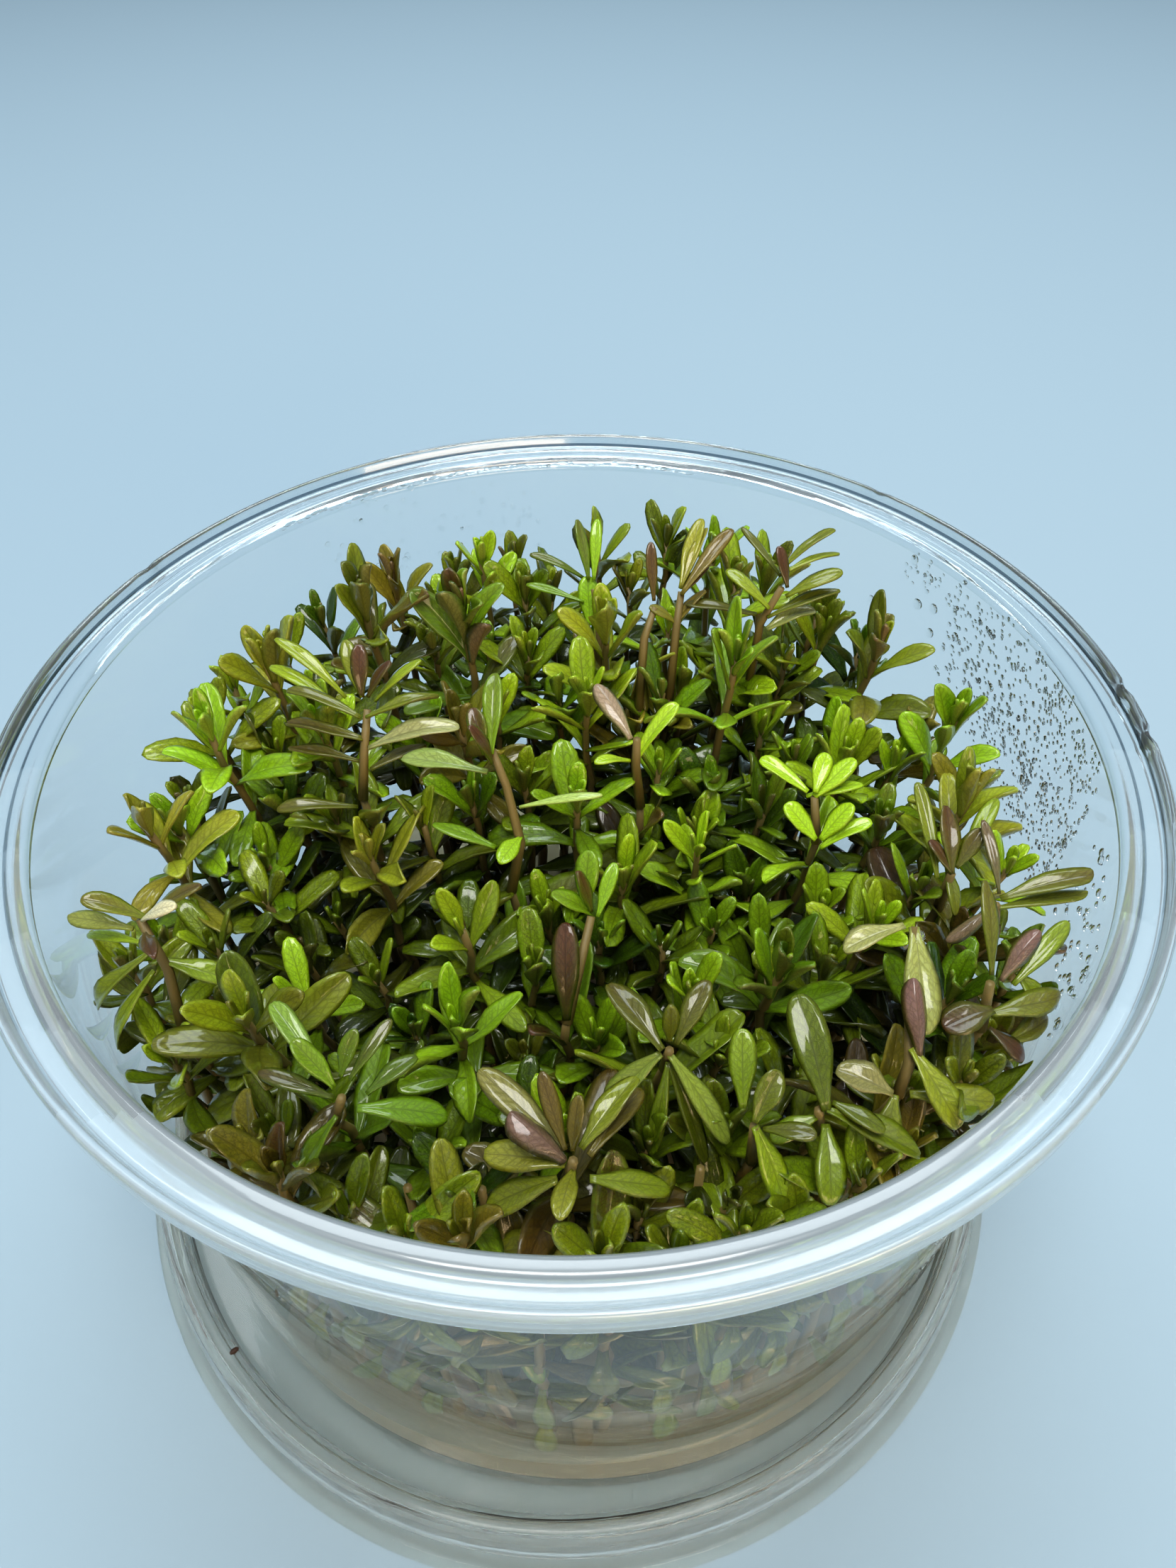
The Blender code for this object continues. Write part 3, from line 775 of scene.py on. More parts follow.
def keepInside(points):
    # presses leaves softly against the inside of the wall, and under the top of the frame's box
    room, soft = 0.45, 1.6
    flat = points[:, :2] - (cup["axisX"], 0)
    reach = np.linalg.norm(flat, axis=1)
    limit = innerRadius(points[:, 2]) - room
    start = limit - soft
    pressed = start + soft * (1 - np.exp(-np.clip(reach - start, 0, None) / soft))
    scale = np.where(reach > start, pressed / np.maximum(reach, 0.01), 1.0)
    points[:, :2] = flat * scale[:, None] + (cup["axisX"], 0)
    ceiling = cadBox[1].z / mm - 0.3
    over = np.clip(points[:, 2] - (ceiling - 1.0), 0, None)
    points[:, 2] = np.where(over > 0, ceiling - 1.0 + 1.0 * (1 - np.exp(-over)), points[:, 2])
    return points


class Growth:
    # gathers leaves and stems, then makes one mesh of them
    def __init__(self):
        self.points, self.places, self.tones = [], [], []
        self.faces, self.slots = [], []
        self.count = 0

    def add(self, points, faces, place, tone, slot):
        self.points.append(points)
        self.places.append(place)
        self.tones.append(np.tile(tone, (len(points), 1)))
        self.faces += [tuple(self.count + corner for corner in face) for face in faces]
        self.slots += [slot] * len(faces)
        self.count += len(points)

    def finish(self, name, materials):
        points = keepInside(np.concatenate(self.points)) * mm
        mesh = bpy.data.meshes.new(name)
        mesh.from_pydata(points.tolist(), [], self.faces)
        for material in materials:
            mesh.materials.append(material)
        mesh.polygons.foreach_set("material_index", self.slots)
        place = mesh.attributes.new("leafPlace", "FLOAT_VECTOR", "POINT")
        place.data.foreach_set("vector", np.concatenate(self.places).astype(np.float32).ravel())
        tone = mesh.attributes.new("leafTone", "FLOAT_COLOR", "POINT")
        tone.data.foreach_set("color", np.concatenate(self.tones).astype(np.float32).ravel())
        mesh.shade_smooth()
        mesh.update()
        piece = bpy.data.objects.new(name, mesh)
        bpy.context.scene.collection.objects.link(piece)
        return piece


# Shoots
shoots = {
    "seed": 11,
    "rootSpread": 0.84,
    "stemRadius": 0.52,
    "leafLength": 7.1,
    "leafWidth": 0.290,         # of the leaf's length
    # distance below the tip, share of the full leaf length, rise in degrees of an upright
    # and of an open shoot, and droop in degrees
    "pairs": (
        (0.2, 0.40, 87, 80, 4), (0.8, 0.66, 84, 66, 8), (2.0, 0.88, 78, 50, 16), (3.8, 1.00, 70, 36, 26),
        (6.0, 1.06, 60, 24, 36), (8.6, 1.06, 50, 12, 44), (11.6, 1.02, 38, 2, 52), (15.0, 0.98, 26, -8, 56),
        (19.0, 0.94, 12, -16, 54), (23.5, 0.88, 0, -22, 46), (28.5, 0.80, -12, -28, 36), (34.0, 0.66, -20, -32, 24),
        (39.5, 0.55, -26, -36, 16),
    ),
    # tip's x, y and height over the lip in mm, then leaf size, openness, light, purple and fresh
    "tips": (
        (1, 26, 2, 1.0, 0.1, 0.65, 0.1, 0.3), (12, 27, 2, 1.0, 0.1, 0.7, 0.35, 0.0), (21, 22, 1, 1.0, 0.2, 0.6, 0.5, 0.0),
        (-9, 26, -2, 0.75, 0.3, 0.7, 0.1, 0.8), (-18, 27, -5, 0.9, 0.2, 0.6, 0.5, 0.0),
        (-19, 17, 0, 1.0, 0.3, 0.45, 0.7, 0.0), (-10, 15, 0, 1.0, 0.1, 0.4, 0.7, 0.0),
        (-28, 13, -4, 1.0, 0.3, 0.8, 0.2, 0.2), (2, 6, 1, 1.05, 0.2, 0.5, 0.7, 0.0), (14, 9, -1, 1.0, 0.3, 0.5, 0.2, 0.2),
        (3, 16, -3, 1.05, 0.2, 0.9, 0.2, 0.5), (28, 14, -4, 0.95, 0.3, 0.5, 0.6, 0.0),
        (33, 5, -5, 0.8, 0.2, 0.8, 0.1, 0.3), (32, -4, -5, 0.95, 0.2, 0.8, 0.0, 0.3),
        (34, -15, -2, 1.1, 0.6, 0.5, 0.7, 0.0), (-31, 4, -4, 0.95, 0.5, 0.85, 0.1, 0.2),
        (-34, -6, -5, 0.9, 0.6, 0.9, 0.1, 0.2), (-31, -16, -3, 1.05, 0.8, 0.7, 0.3, 0.0),
        (-6, -2, 1, 1.05, 0.2, 0.45, 0.7, 0.0), (-10, 6, -6, 0.95, 0.6, 0.4, 0.2, 0.0), (-18, 4, 1, 1.0, 0.7, 0.6, 0.1, 0.1),
        (22, -1, -7, 0.9, 0.8, 0.9, 0.0, 1.0), (10, -5, -10, 0.75, 0.9, 0.9, 0.0, 1.0), (-9, -13, -10, 0.95, 0.9, 0.7, 0.0, 0.3),
        (1, -15, -6, 1.1, 0.3, 0.4, 0.9, 0.0), (-17, -6, -9, 0.95, 0.9, 0.8, 0.1, 0.2), (-23, -23, -6, 1.05, 0.8, 0.6, 0.4, 0.0),
        (-15, -30, -5, 1.0, 0.7, 0.6, 0.2, 0.1), (-3, -32, -5, 1.15, 0.9, 0.6, 0.5, 0.1), (6, -24, -7, 1.1, 0.7, 0.6, 0.1, 0.1),
        (15, -18, -9, 1.1, 0.4, 0.5, 0.3, 0.1), (23, -20, -4, 1.1, 0.5, 0.6, 0.5, 0.0), (15, -31, -6, 1.05, 0.8, 0.6, 0.1, 0.1),
        (-9, -22, -9, 0.95, 0.8, 0.7, 0.0, 0.5),
    ),
    # dark hollows that leaves keep out of: x, y and radius
    "hollows": (
        (-8.5, -4.0, 3.6), (-9.3, -8.4, 2.6), (-11.6, -3.8, 2.8), (-6.5, -12.7, 2.4), (-6.5, -16.6, 2.2), (3.0, 3.3, 1.8),
        (18.8, -22.7, 2.0), (9.5, -31.6, 1.8), (10.0, 12.5, 1.8), (-20.5, -17.0, 1.8), (14.7, -22.0, 1.8),
    ),
}

# Shoots whose upper leaves are placed one by one. A leaf's row: base x, y and height over the lip, the same
# for its tip, width in mm, 1 where its underside is up, then light, purple, fresh and pale.
heroes = (
    {"shoot": 1, "stem": ((2, 20.5, -2), (2.5, 17.5, -5.5), (2.5, 15, -10.5)), "leaves": (
        (1.5, 22, -2, 0.5, 26, 2, 1.2, 0, 0.4, 0.5, 0, 0), (2, 22, -2, 2.5, 26, 2, 1.2, 0, 0.9, 0.1, 0.1, 0),
        (1, 23, -2.5, -4, 25, -1, 1.1, 0, 0.3, 0.5, 0, 0), (1.5, 19.5, -5.5, 1.5, 22.5, -2, 2.1, 0, 0.8, 0, 0.3, 0),
        (2.5, 18.5, -5.5, 3, 21, -2, 1.6, 0, 0.8, 0, 0.4, 0), (3.5, 15, -9, 0, 18.5, -5.5, 2.5, 0, 0.5, 0.95, 0.1, 0),
        (1, 20.5, -3.5, -4.5, 22.5, -3, 1, 0, 0.5, 0.2, 0, 0),
    )},
    {"shoot": 2, "stem": ((7.5, 17.5, -2), (6.5, 15.5, -4), (6, 12.5, -10)), "leaves": (
        (7.5, 18.5, -2, 7, 22, 2, 1.1, 0, 0.3, 0.7, 0, 0), (10, 19, -1, 12, 25, 2.5, 1.6, 0, 0.9, 0.1, 0.2, 0),
        (10, 18, -1, 15, 23, 2.5, 1.5, 0, 0.6, 0.5, 0, 0), (10, 19, -1, 13, 24, 2, 1.1, 0, 0.8, 0.1, 0.1, 0),
        (10, 18.5, -1.5, 12.5, 21, 0, 1.2, 0, 0.3, 0.9, 0, 0),
    )},
    {"shoot": 2, "stem": ((10, 18.5, -1), (9.5, 16.5, -4), (9, 14, -10)), "leaves": (
        (9.5, 17, -3.5, 12.5, 19, -1.5, 1.3, 0, 0.6, 0.3, 0, 0), (9.5, 17, -3.5, 7, 17.5, -2, 1.4, 0, 0.5, 0.2, 0.1, 0),
    )},
    {"shoot": 3, "stem": ((19, 17.5, 0), (17.5, 17.5, -4), (17, 16.5, -10)), "leaves": (
        (19.5, 19.5, 1, 24, 21.5, 3.5, 1.4, 0, 0.6, 0.3, 0, 0), (19.5, 18.5, 1, 24.5, 20.5, 1.5, 1.2, 0, 0.7, 0.1, 0, 0),
        (19.5, 17.5, -1, 24.5, 18.5, 1, 1.7, 0, 0.6, 0.2, 0, 0), (18, 17, -3, 24.5, 18.5, -1, 1.3, 0, 0.5, 0.3, 0, 0),
        (19.5, 17.5, 0, 18.5, 19.5, 3, 1.2, 0, 0.1, 1, 0, 0), (18, 17, -2, 14, 20, 0, 1.5, 0, 0.7, 0.1, 0.1, 0),
        (17, 17.5, -3, 10.5, 17.5, -2, 1.6, 0, 0.2, 0.4, 0, 0), (19, 18.5, 0.5, 15.5, 22.5, 3, 0.9, 0, 0.3, 0.3, 0, 0),
        (18, 16.5, -4, 22.5, 18, -3, 2, 0, 0.6, 0.2, 0, 0.2),
    )},
    {"shoot": 21, "stem": ((-17, 3, -1), (-17.5, 1, -4), (-18, -0.5, -8)), "leaves": (
        (-17.5, 4, -0.5, -17.5, 6.5, 3, 1.5, 0, 0.2, 1, 0, 0), (-17, 4, -0.5, -15, 5.5, 2, 1.4, 0, 0.2, 0.9, 0, 0),
        (-17.5, 4, -0.5, -19, 7, 3, 1.5, 0, 0.6, 0.2, 0, 0), (-16.5, 4, -1, -12.5, 6, 1.5, 1.2, 0, 0.7, 0, 0.1, 0),
        (-17.5, 2, -1, -23.5, 4.5, 0, 1.4, 0, 0.4, 0.4, 0, 0), (-17.5, 1.5, -3, -24, 2.5, -2.5, 1.6, 0, 0.35, 0.6, 0, 0),
        (-18, 1, -5, -24, 2, -4.5, 1.3, 0, 0.3, 0.6, 0, 0), (-17, 2, -1, -11, 3, 0, 1.3, 0, 0.5, 0.3, 0, 0),
        (-17, 1, -3.5, -9.5, 2, -2, 1.9, 0, 0.5, 0.1, 0, 0.35), (-17, 0, -5, -12.5, 2.5, -5, 1.5, 0, 0.2, 0.5, 0, 0),
        (-18.5, -1, -8.5, -25, -2, -8, 1.4, 0, 0.3, 0.4, 0, 0), (-19, 4.5, -1, -25, 8.5, 2, 1.3, 0, 0.75, 0, 0, 0),
        (-19.5, 3.5, -1.5, -25.5, 7.5, 0, 1.4, 0, 0.8, 0, 0.2, 0),
    )},
    {"shoot": 9, "stem": ((5, 0, -2), (5, 0, -5), (5.5, 0, -10)), "leaves": (
        (4.5, 0, -2, 2, 4.5, 0, 1.9, 1, 0.5, 0.9, 0, 0.2), (5, 0, -4.5, 8.5, 3, -1, 1.6, 0, 0.8, 0, 0.8, 0),
        (4.5, 0, -4.5, 1.5, -0.5, -4, 1, 0, 0.8, 0, 0.7, 0),
    )},
    {"shoot": 15, "stem": ((28, -12.5, -4.5), (28.5, -11.5, -10)), "leaves": (
        (28, -12.5, -4.5, 28, -8, -2, 1.6, 0, 0.3, 0.8, 0, 0), (28, -12.5, -4.5, 26.5, -10.5, -3, 1.3, 0, 0.2, 0.9, 0, 0),
        (28.5, -12, -4.5, 30.5, -10, -2.5, 1.4, 0, 0.3, 0.6, 0, 0), (27, -12.5, -5, 26.5, -6, -1.5, 1.2, 0, 0.55, 0.2, 0, 0),
        (29, -11.5, -4.5, 32.5, -7, -2.5, 1.4, 0, 0.6, 0.1, 0.2, 0), (28, -11, -5, 28.5, -14.5, -7, 1.1, 0, 0.5, 0.3, 0, 0),
    )},
    {"shoot": 15, "stem": ((30.5, -15.5, -4.5), (32, -14.5, -10)), "leaves": (
        (31, -15, -4.5, 38, -14, -3, 1.8, 0, 0.55, 0.6, 0, 0), (30.5, -15.5, -5, 38, -14.5, -4.5, 1.2, 0, 0.6, 0.3, 0, 0),
        (31, -14.5, -4.5, 30.5, -9.5, -2, 0.9, 0, 0.2, 0.8, 0, 0.1), (30.5, -15.5, -5, 27, -17.5, -6.5, 1.3, 1, 0.4, 0.7, 0, 0),
    )},
    {"shoot": 15, "stem": ((28, -22.5, -4), (28.5, -23, -9)), "leaves": (
        (28.5, -21.5, -4.5, 28.5, -16, -1, 1.3, 0, 0.5, 0.5, 0, 0), (29, -22, -4.5, 31.5, -19.5, -2, 1.5, 1, 0.8, 1, 0, 0),
        (30, -22, -5, 34.5, -18.5, -3, 1.4, 0, 0.6, 0.1, 0.2, 0), (30.5, -21, -5, 32, -23, -7, 1.6, 0, 0.7, 0.1, 0.1, 0),
        (28, -24, -5, 24.5, -25, -5.5, 2.4, 0, 0.3, 0.8, 0, 0), (28, -24, -5.5, 34, -23, -6, 2.1, 0, 0.6, 0.5, 0, 0),
        (28, -24.5, -6.5, 30.5, -26.5, -8, 1.7, 0, 0.1, 1, 0, 0), (29.5, -25, -7.5, 33.5, -23.5, -8, 2.2, 0, 0.5, 0.5, 0, 0),
    )},
    {"shoot": 18, "stem": ((-31, -16.5, -3), (-29.5, -18.5, -6.5), (-29.5, -20.5, -13)), "leaves": (
        (-30.5, -16.5, -3, -34.5, -16, -1, 1.5, 0, 0.6, 0.5, 0, 0), (-30.5, -16.5, -3, -26.5, -15, -1, 1.5, 0, 0.5, 0.7, 0, 0),
        (-30.5, -17, -2.5, -27.5, -17.5, -0.5, 1.3, 0, 1, 0, 0, 1), (-31.5, -17, -3.5, -36.5, -16, -3.5, 1.5, 0, 0.7, 0.3, 0, 0.1),
        (-31, -17.5, -4.5, -36, -16, -6, 1.1, 0, 0.7, 0, 0.4, 0), (-30.5, -18, -5, -35.5, -20.5, -9, 1.6, 0, 0.6, 0.1, 0, 0),
        (-30.5, -18.5, -6.5, -34, -22.5, -11, 1.5, 0, 0.6, 0, 0.1, 0), (-30, -18, -6, -25.5, -18.5, -8, 1.7, 0, 0.6, 0, 0.2, 0),
        (-30.5, -17.5, -3.5, -28.5, -21, -1.5, 1.2, 0, 0.2, 1, 0, 0),
    )},
    {"shoot": 19, "stem": ((-6.5, -3, 0), (-5.5, -4, -3), (-4.5, -6.5, -7), (-5.5, -7.5, -12)), "leaves": (
        (-7, -3.5, 0, -8, -1, 2.5, 1.5, 0, 0.4, 0.9, 0, 0), (-6.5, -3.5, 0, -6, 2, 3.5, 1.6, 0, 0.55, 0.4, 0, 0),
        (-6.5, -4, -0.5, -8, -3.5, 3, 1.2, 0, 0.2, 1, 0, 0), (-4.5, -5, -4.5, 2, -5, -3, 0.9, 0, 0.9, 0.1, 0, 0.3),
        (-6.5, -7, -7, -11.5, -5.5, -6, 1.7, 0, 0.4, 0.1, 0.1, 0), (-4.5, -6.5, -6.5, -6, -9.5, -6, 1.6, 0, 0.8, 0.1, 0.4, 0),
        (-7, -3, -2.5, -14, -1, -3, 1.8, 0, 0.5, 0.2, 0, 0.2),
    )},
    {"shoot": 22, "stem": ((19.5, -3, -6), (20, -4.5, -10)), "leaves": (
        (19.5, -3, -6, 23, -1, -4, 2, 0, 1, 0, 1, 0), (19, -2.5, -6, 15.5, 0.5, -5, 1.6, 0, 0.9, 0, 0.9, 0),
        (19.5, -3, -5.5, 20.5, 0, -4, 1.6, 0, 1, 0, 1, 0), (19.5, -5.5, -8.5, 17, -3.5, -6.5, 2, 0, 1, 0, 0.9, 0),
        (20, -5.5, -8.5, 22.5, -4, -6, 2.1, 0, 1, 0, 1, 0), (20, -6, -9, 24, -5, -7, 1.4, 0, 1, 0, 0.9, 0),
        (19, -2.5, -6.5, 23.5, -2.5, -5.5, 1.5, 0, 1, 0, 0.9, 0),
    )},
    {"shoot": 25, "stem": ((1, -14, -7), (-1, -19.5, -13)), "leaves": (
        (0.5, -13, -7, 1, -10.5, -3.5, 2, 0, 0.6, 0.2, 0, 0), (1.5, -14, -7, 3, -11, -4.5, 1.2, 0, 0.7, 0.1, 0, 0),
        (1, -13.5, -7.5, -2, -13.5, -5, 1.8, 0, 0.6, 0.3, 0, 0), (1, -13.5, -7, 0, -12.5, -3.5, 1.2, 0, 0.3, 0.9, 0, 0),
        (-1, -19.5, -12.5, -1, -14.5, -7, 2.2, 0, 0.1, 1, 0, 0),
    )},
    {"shoot": 28, "stem": ((-15.5, -29, -6), (-17, -28, -11)), "leaves": (
        (-16, -29, -6, -21, -28, -5, 1.3, 0, 0.3, 0.7, 0, 0), (-14.5, -29.5, -6.5, -9, -29, -9, 2.2, 0, 0.45, 0, 0.1, 0),
        (-17, -27.5, -5.5, -20.5, -23, -4, 1.6, 0, 0.5, 0, 0.1, 0.1), (-16, -28.5, -5.5, -18.5, -26.5, -3, 1.5, 0, 0.7, 0.3, 0.1, 0),
        (-15, -28, -5.5, -12.5, -24.5, -4, 1.1, 0, 0.4, 0.6, 0, 0), (-15.5, -28, -5, -14.5, -26, -2.5, 1.2, 0, 0.5, 0.4, 0, 0),
        (-14, -28.5, -6.5, -11, -26, -6, 1.4, 0, 0.3, 0.3, 0, 0), (-16, -29.5, -7.5, -18.5, -31.5, -11, 1.4, 0, 0.5, 0.2, 0, 0),
    )},
    {"shoot": 29, "stem": ((-0.5, -34, -5), (-1, -33, -10)), "leaves": (
        (-1, -34, -5, -4.5, -32, -3, 2.3, 1, 0.6, 0.9, 0, 0), (-1, -34, -5.5, -6, -33, -6, 2, 0, 0.9, 0, 0.2, 0),
        (-1, -33, -5.5, -6.5, -28.5, -4, 2, 0, 0.6, 0.1, 0.1, 0.1), (-1, -33.5, -4.5, -2.5, -30, -1.5, 1.2, 0, 0.6, 0.5, 0, 0),
        (-0.5, -33.5, -4.5, 0, -31.5, -1.5, 1.1, 0, 0.6, 0.3, 0, 0), (0, -33, -5.5, 3.5, -29, -4, 1.8, 0, 0.6, 0, 0.3, 0),
        (0.5, -33.5, -5.5, 4, -29, -6, 1.5, 0, 0.5, 0.2, 0, 0), (-0.5, -34.5, -5.5, -1.5, -38, -4, 1.5, 0, 0.8, 0, 0.2, 0),
        (-1.5, -34.5, -6.5, -6, -35, -9, 2.2, 0, 0.5, 0, 0.3, 0), (0.5, -34.5, -6.5, 5.5, -34.5, -9, 2, 0, 0.4, 0, 0.4, 0),
    )},
    {"shoot": 30, "stem": ((6, -26, -6), (6, -24.5, -11)), "leaves": (
        (5.5, -26, -6, 2, -21.5, -5, 2, 0, 0.35, 0.5, 0, 0), (6.5, -25.5, -6, 9, -22, -4, 1.7, 0, 0.4, 0.5, 0, 0),
        (5.5, -26, -6.5, 2, -27.5, -10, 1.9, 0, 0.6, 0.1, 0.2, 0.1), (6, -26, -6.5, 10, -30, -11, 1.8, 0, 0.7, 0, 0.2, 0.1),
        (6, -26, -7.5, 8.5, -30.5, -13, 1.5, 0, 0.3, 0.1, 0, 0), (6, -26, -7.5, 5, -30, -13, 1.3, 0, 0.3, 0, 0.2, 0),
        (6, -25.5, -5.5, 6, -25, -2, 1.2, 0, 0.6, 0.4, 0, 0),
    )},
    {"shoot": 32, "stem": ((23.5, -18.5, -3), (22.5, -23, -4.5), (22, -27, -6.5), (21.5, -28, -9)), "leaves": (
        (23.5, -18.5, -3, 23, -25.5, -5.5, 2.6, 0, 0.6, 0, 0.3, 0.2), (23, -18, -3.5, 18.5, -19.5, -4, 1.9, 0, 0.7, 0, 0.2, 0.3),
        (22.5, -27, -5.5, 22, -23, -2.5, 1.8, 1, 0.9, 1, 0, 0), (22, -26.5, -5.5, 24.5, -31, -8, 2.1, 0, 0.8, 0.1, 0.4, 0),
        (20.5, -29, -7, 17, -27.5, -6.5, 2.2, 0, 0.5, 0.1, 0.1, 0.2), (22, -28.5, -8, 28, -29, -9, 2.1, 0, 0.5, 0, 0.3, 0),
        (21, -28.5, -8, 20, -31.5, -10, 1.9, 0, 0.3, 0, 0.3, 0),
    )},
    {"shoot": 33, "stem": ((15.5, -30, -7), (16.5, -29, -12)), "leaves": (
        (16, -30, -7, 14.5, -23.5, -3.5, 2.6, 0, 0.25, 0.1, 0.1, 0), (16, -30, -7, 22, -32, -9, 2, 0, 0.4, 0.1, 0.1, 0),
        (15.5, -30, -8, 12.5, -31, -9, 1.6, 0, 0.4, 0, 0.3, 0), (16, -30.5, -8, 16, -35, -10, 2.2, 0, 0.4, 0, 0.2, 0),
        (16.5, -29.5, -7, 19.5, -31.5, -7, 1.5, 0, 0.4, 0.1, 0, 0),
    )},
    {"shoot": 33, "stem": ((11, -31.5, -6), (11.5, -31, -12)), "leaves": (
        (11, -31.5, -6, 13, -34.5, -10, 2, 0, 0.9, 0.1, 0.5, 0), (11, -31.5, -5.5, 12.5, -29, -3.5, 1.7, 0, 0.6, 0.3, 0, 0),
        (10.5, -30, -6.5, 10.5, -26, -3.5, 1.9, 0, 0.5, 0, 0.3, 0), (11.5, -32, -5.5, 14.5, -33, -4.5, 1.3, 0, 0.5, 0.4, 0, 0),
    )},
)


# Shoots that show through the front wall, in the same form
frontShoots = (
    {"finish": "green", "stem": ((-6.5, -33.5, -10), (-6.5, -33.5, -22), (-6, -32.5, -50)), "leaves": (
        (-6.5, -34, -13, -7.5, -39.5, -17.5, 2.2, 0, 1, 0, 1, 0), (-6.8, -34, -12, -10.5, -38.5, -13.5, 2.2, 0, 1, 0, 1, 0),
        (-6.5, -34, -26, -3, -38.5, -30, 1.8, 0, 0.5, 0.2, 0.2, 0), (-6.5, -33.5, -30, -12, -36.5, -34, 1.8, 0, 0.5, 0.6, 0, 0),
    )},
    {"finish": "olive", "stem": ((8, -31.5, -12), (8, -32, -26), (7.5, -31, -50)), "leaves": (
        (8, -32, -22, 9, -38.5, -31, 2.4, 0, 0.6, 0.1, 0.4, 0), (8.5, -32, -24, 12.5, -37, -33, 2.4, 0, 0.5, 0.6, 0, 0),
        (7.5, -32.5, -30, 6, -38.8, -36, 2.5, 0, 0.5, 0.5, 0.1, 0), (8, -32, -34, 11.5, -37.5, -39, 2.2, 0, 0.4, 0.6, 0, 0),
        (7.8, -32, -17, 4, -38, -22, 2.0, 0, 0.4, 0.2, 0.2, 0),
    )},
    {"finish": "bronze", "stem": ((17, -28.5, -12), (17, -29.5, -26), (16.5, -28.5, -50)), "leaves": (
        (17, -29.5, -18, 18, -35.5, -25, 2.3, 0, 0.3, 1, 0, 0), (17, -29.5, -24, 21, -33.5, -30, 2.0, 0, 0.5, 0.8, 0, 0),
        (16.5, -29.5, -20, 13.5, -36.5, -27, 2.2, 0, 0.5, 0.3, 0.3, 0), (17, -29.5, -14, 20.5, -34.5, -16, 2.0, 0, 0.8, 0, 0.8, 0),
    )},
    {"finish": "bronze", "stem": ((-12, -31.5, -14), (-12, -32.5, -30), (-11.5, -31, -50)), "leaves": (
        (-11.5, -33, -32, -8.5, -38.3, -41, 1.7, 0, 0.4, 0.8, 0, 0), (-11, -33, -36, -6, -38.8, -43, 1.5, 0, 0.4, 0.8, 0, 0),
        (-12.5, -33, -30, -15.5, -36, -37, 1.8, 0, 0.3, 0.9, 0, 0), (-12, -33, -22, -15.5, -35.5, -26, 2.0, 0, 0.4, 0.3, 0, 0),
    )},
)
# the stem whose cut foot stands against the wall: points as x, y and height over the lip, and its radius
cutStem = {"path": ((-0.4, -37.0, -38), (-0.4, -38.3, -46), (-0.3, -38.6, -51.5), (0.3, -38.7, -52.6), (1.1, -38.7, -52.9)), "radius": 0.9}


def stemPoint(root, tip, height):
    share = (height - root[2]) / (tip[2] - root[2])
    side = max(share, 0.0) ** 1.4
    return np.array((root[0] + (tip[0] - root[0]) * side, root[1] + (tip[1] - root[1]) * side, height))


def inHollow(point):
    # dark hollows between the shoots stay free of leaves near the top
    if point[2] < lipHeight - 14:
        return False
    return any(math.hypot(point[0] - cup["axisX"] - x, point[1] - y) < reach for x, y, reach in shoots["hollows"])


def growShoot(growth, dice, tip, size, openness, light, purple, fresh, detail="fine", lowest=45.0, spread=None,
              first=0.0):
    # pairs less than first below the tip are left to the caller
    gel = cup["foot"] + cup["gelTop"]
    spread = spread or shoots["rootSpread"]
    root = ((tip[0] - cup["axisX"]) * spread + cup["axisX"], tip[1] * spread, gel - 2.5)
    heights = np.linspace(root[2], tip[2], 14)
    wobble = np.array([(dice.uniform(-0.35, 0.35), dice.uniform(-0.35, 0.35), 0) for _ in heights])
    wobble[-1] = wobble[0] = 0
    path = np.array([stemPoint(root, tip, height) for height in heights]) + wobble
    radii = shoots["stemRadius"] * size ** 0.5 * np.linspace(1.15, 0.62, len(heights))
    points, faces = stemTube(path, radii, 7 if detail == "fine" else 5)
    growth.add(points, faces, np.zeros((len(points), 3)), (0.5, purple, fresh, 0), 1)
    turn = dice.uniform(0, math.pi)
    faces, ring = topology[detail]
    for number, (drop, share, upright, flat, droop) in enumerate(shoots["pairs"]):
        rise = upright + (flat - upright) * openness
        drop *= 0.85 + 0.3 * dice.random()
        if drop < first:
            continue
        if drop > lowest or tip[2] - drop < gel + 4:
            break
        height = tip[2] - drop
        spot = np.array([np.interp(height, heights, path[:, axis]) for axis in range(3)])
        across = turn + number * math.pi / 2 + dice.uniform(-0.22, 0.22)
        for side in (0, math.pi):
            if number > 5 and dice.random() < 0.12:
                continue
            length = shoots["leafLength"] * size * share * dice.uniform(0.80, 1.14)
            width = length * shoots["leafWidth"] * dice.uniform(0.86, 1.22) + 0.12
            heading = across + side + dice.uniform(-0.25, 0.25)
            tilt = math.radians(rise + dice.uniform(-16, 16) * min(drop / 3, 1))
            sag = math.radians(droop * dice.uniform(-0.2, 1.6))
            start = spot + np.array((math.cos(heading), math.sin(heading), 0)) * 0.2
            blade, place = leafBlade(detail, start, heading, tilt, sag, length, width,
                                     dice.uniform(-0.45, 0.45), dice.uniform(-1.0, 1.0), dice.uniform(0.1, 0.75))
            # leaves further below the tip are darker, partly for their age and partly as painted shade deep in the
            # clump; they are also greener and less purple
            ageAndShade = min(drop / 25.0, 1.0)
            blush = purple * (1.2 if dice.random() < 0.35 else 0.25) * (1 - 0.7 * ageAndShade)
            tone = (min(max(light + dice.uniform(-0.50, 0.42) - 0.15 * ageAndShade, 0), 1), blush,
                    min(max(fresh + dice.uniform(-0.2, 0.2) + 0.15 * ageAndShade, 0), 1), 0)
            if not inHollow(blade[-1]):
                growth.add(blade, faces, place, tone, 0)


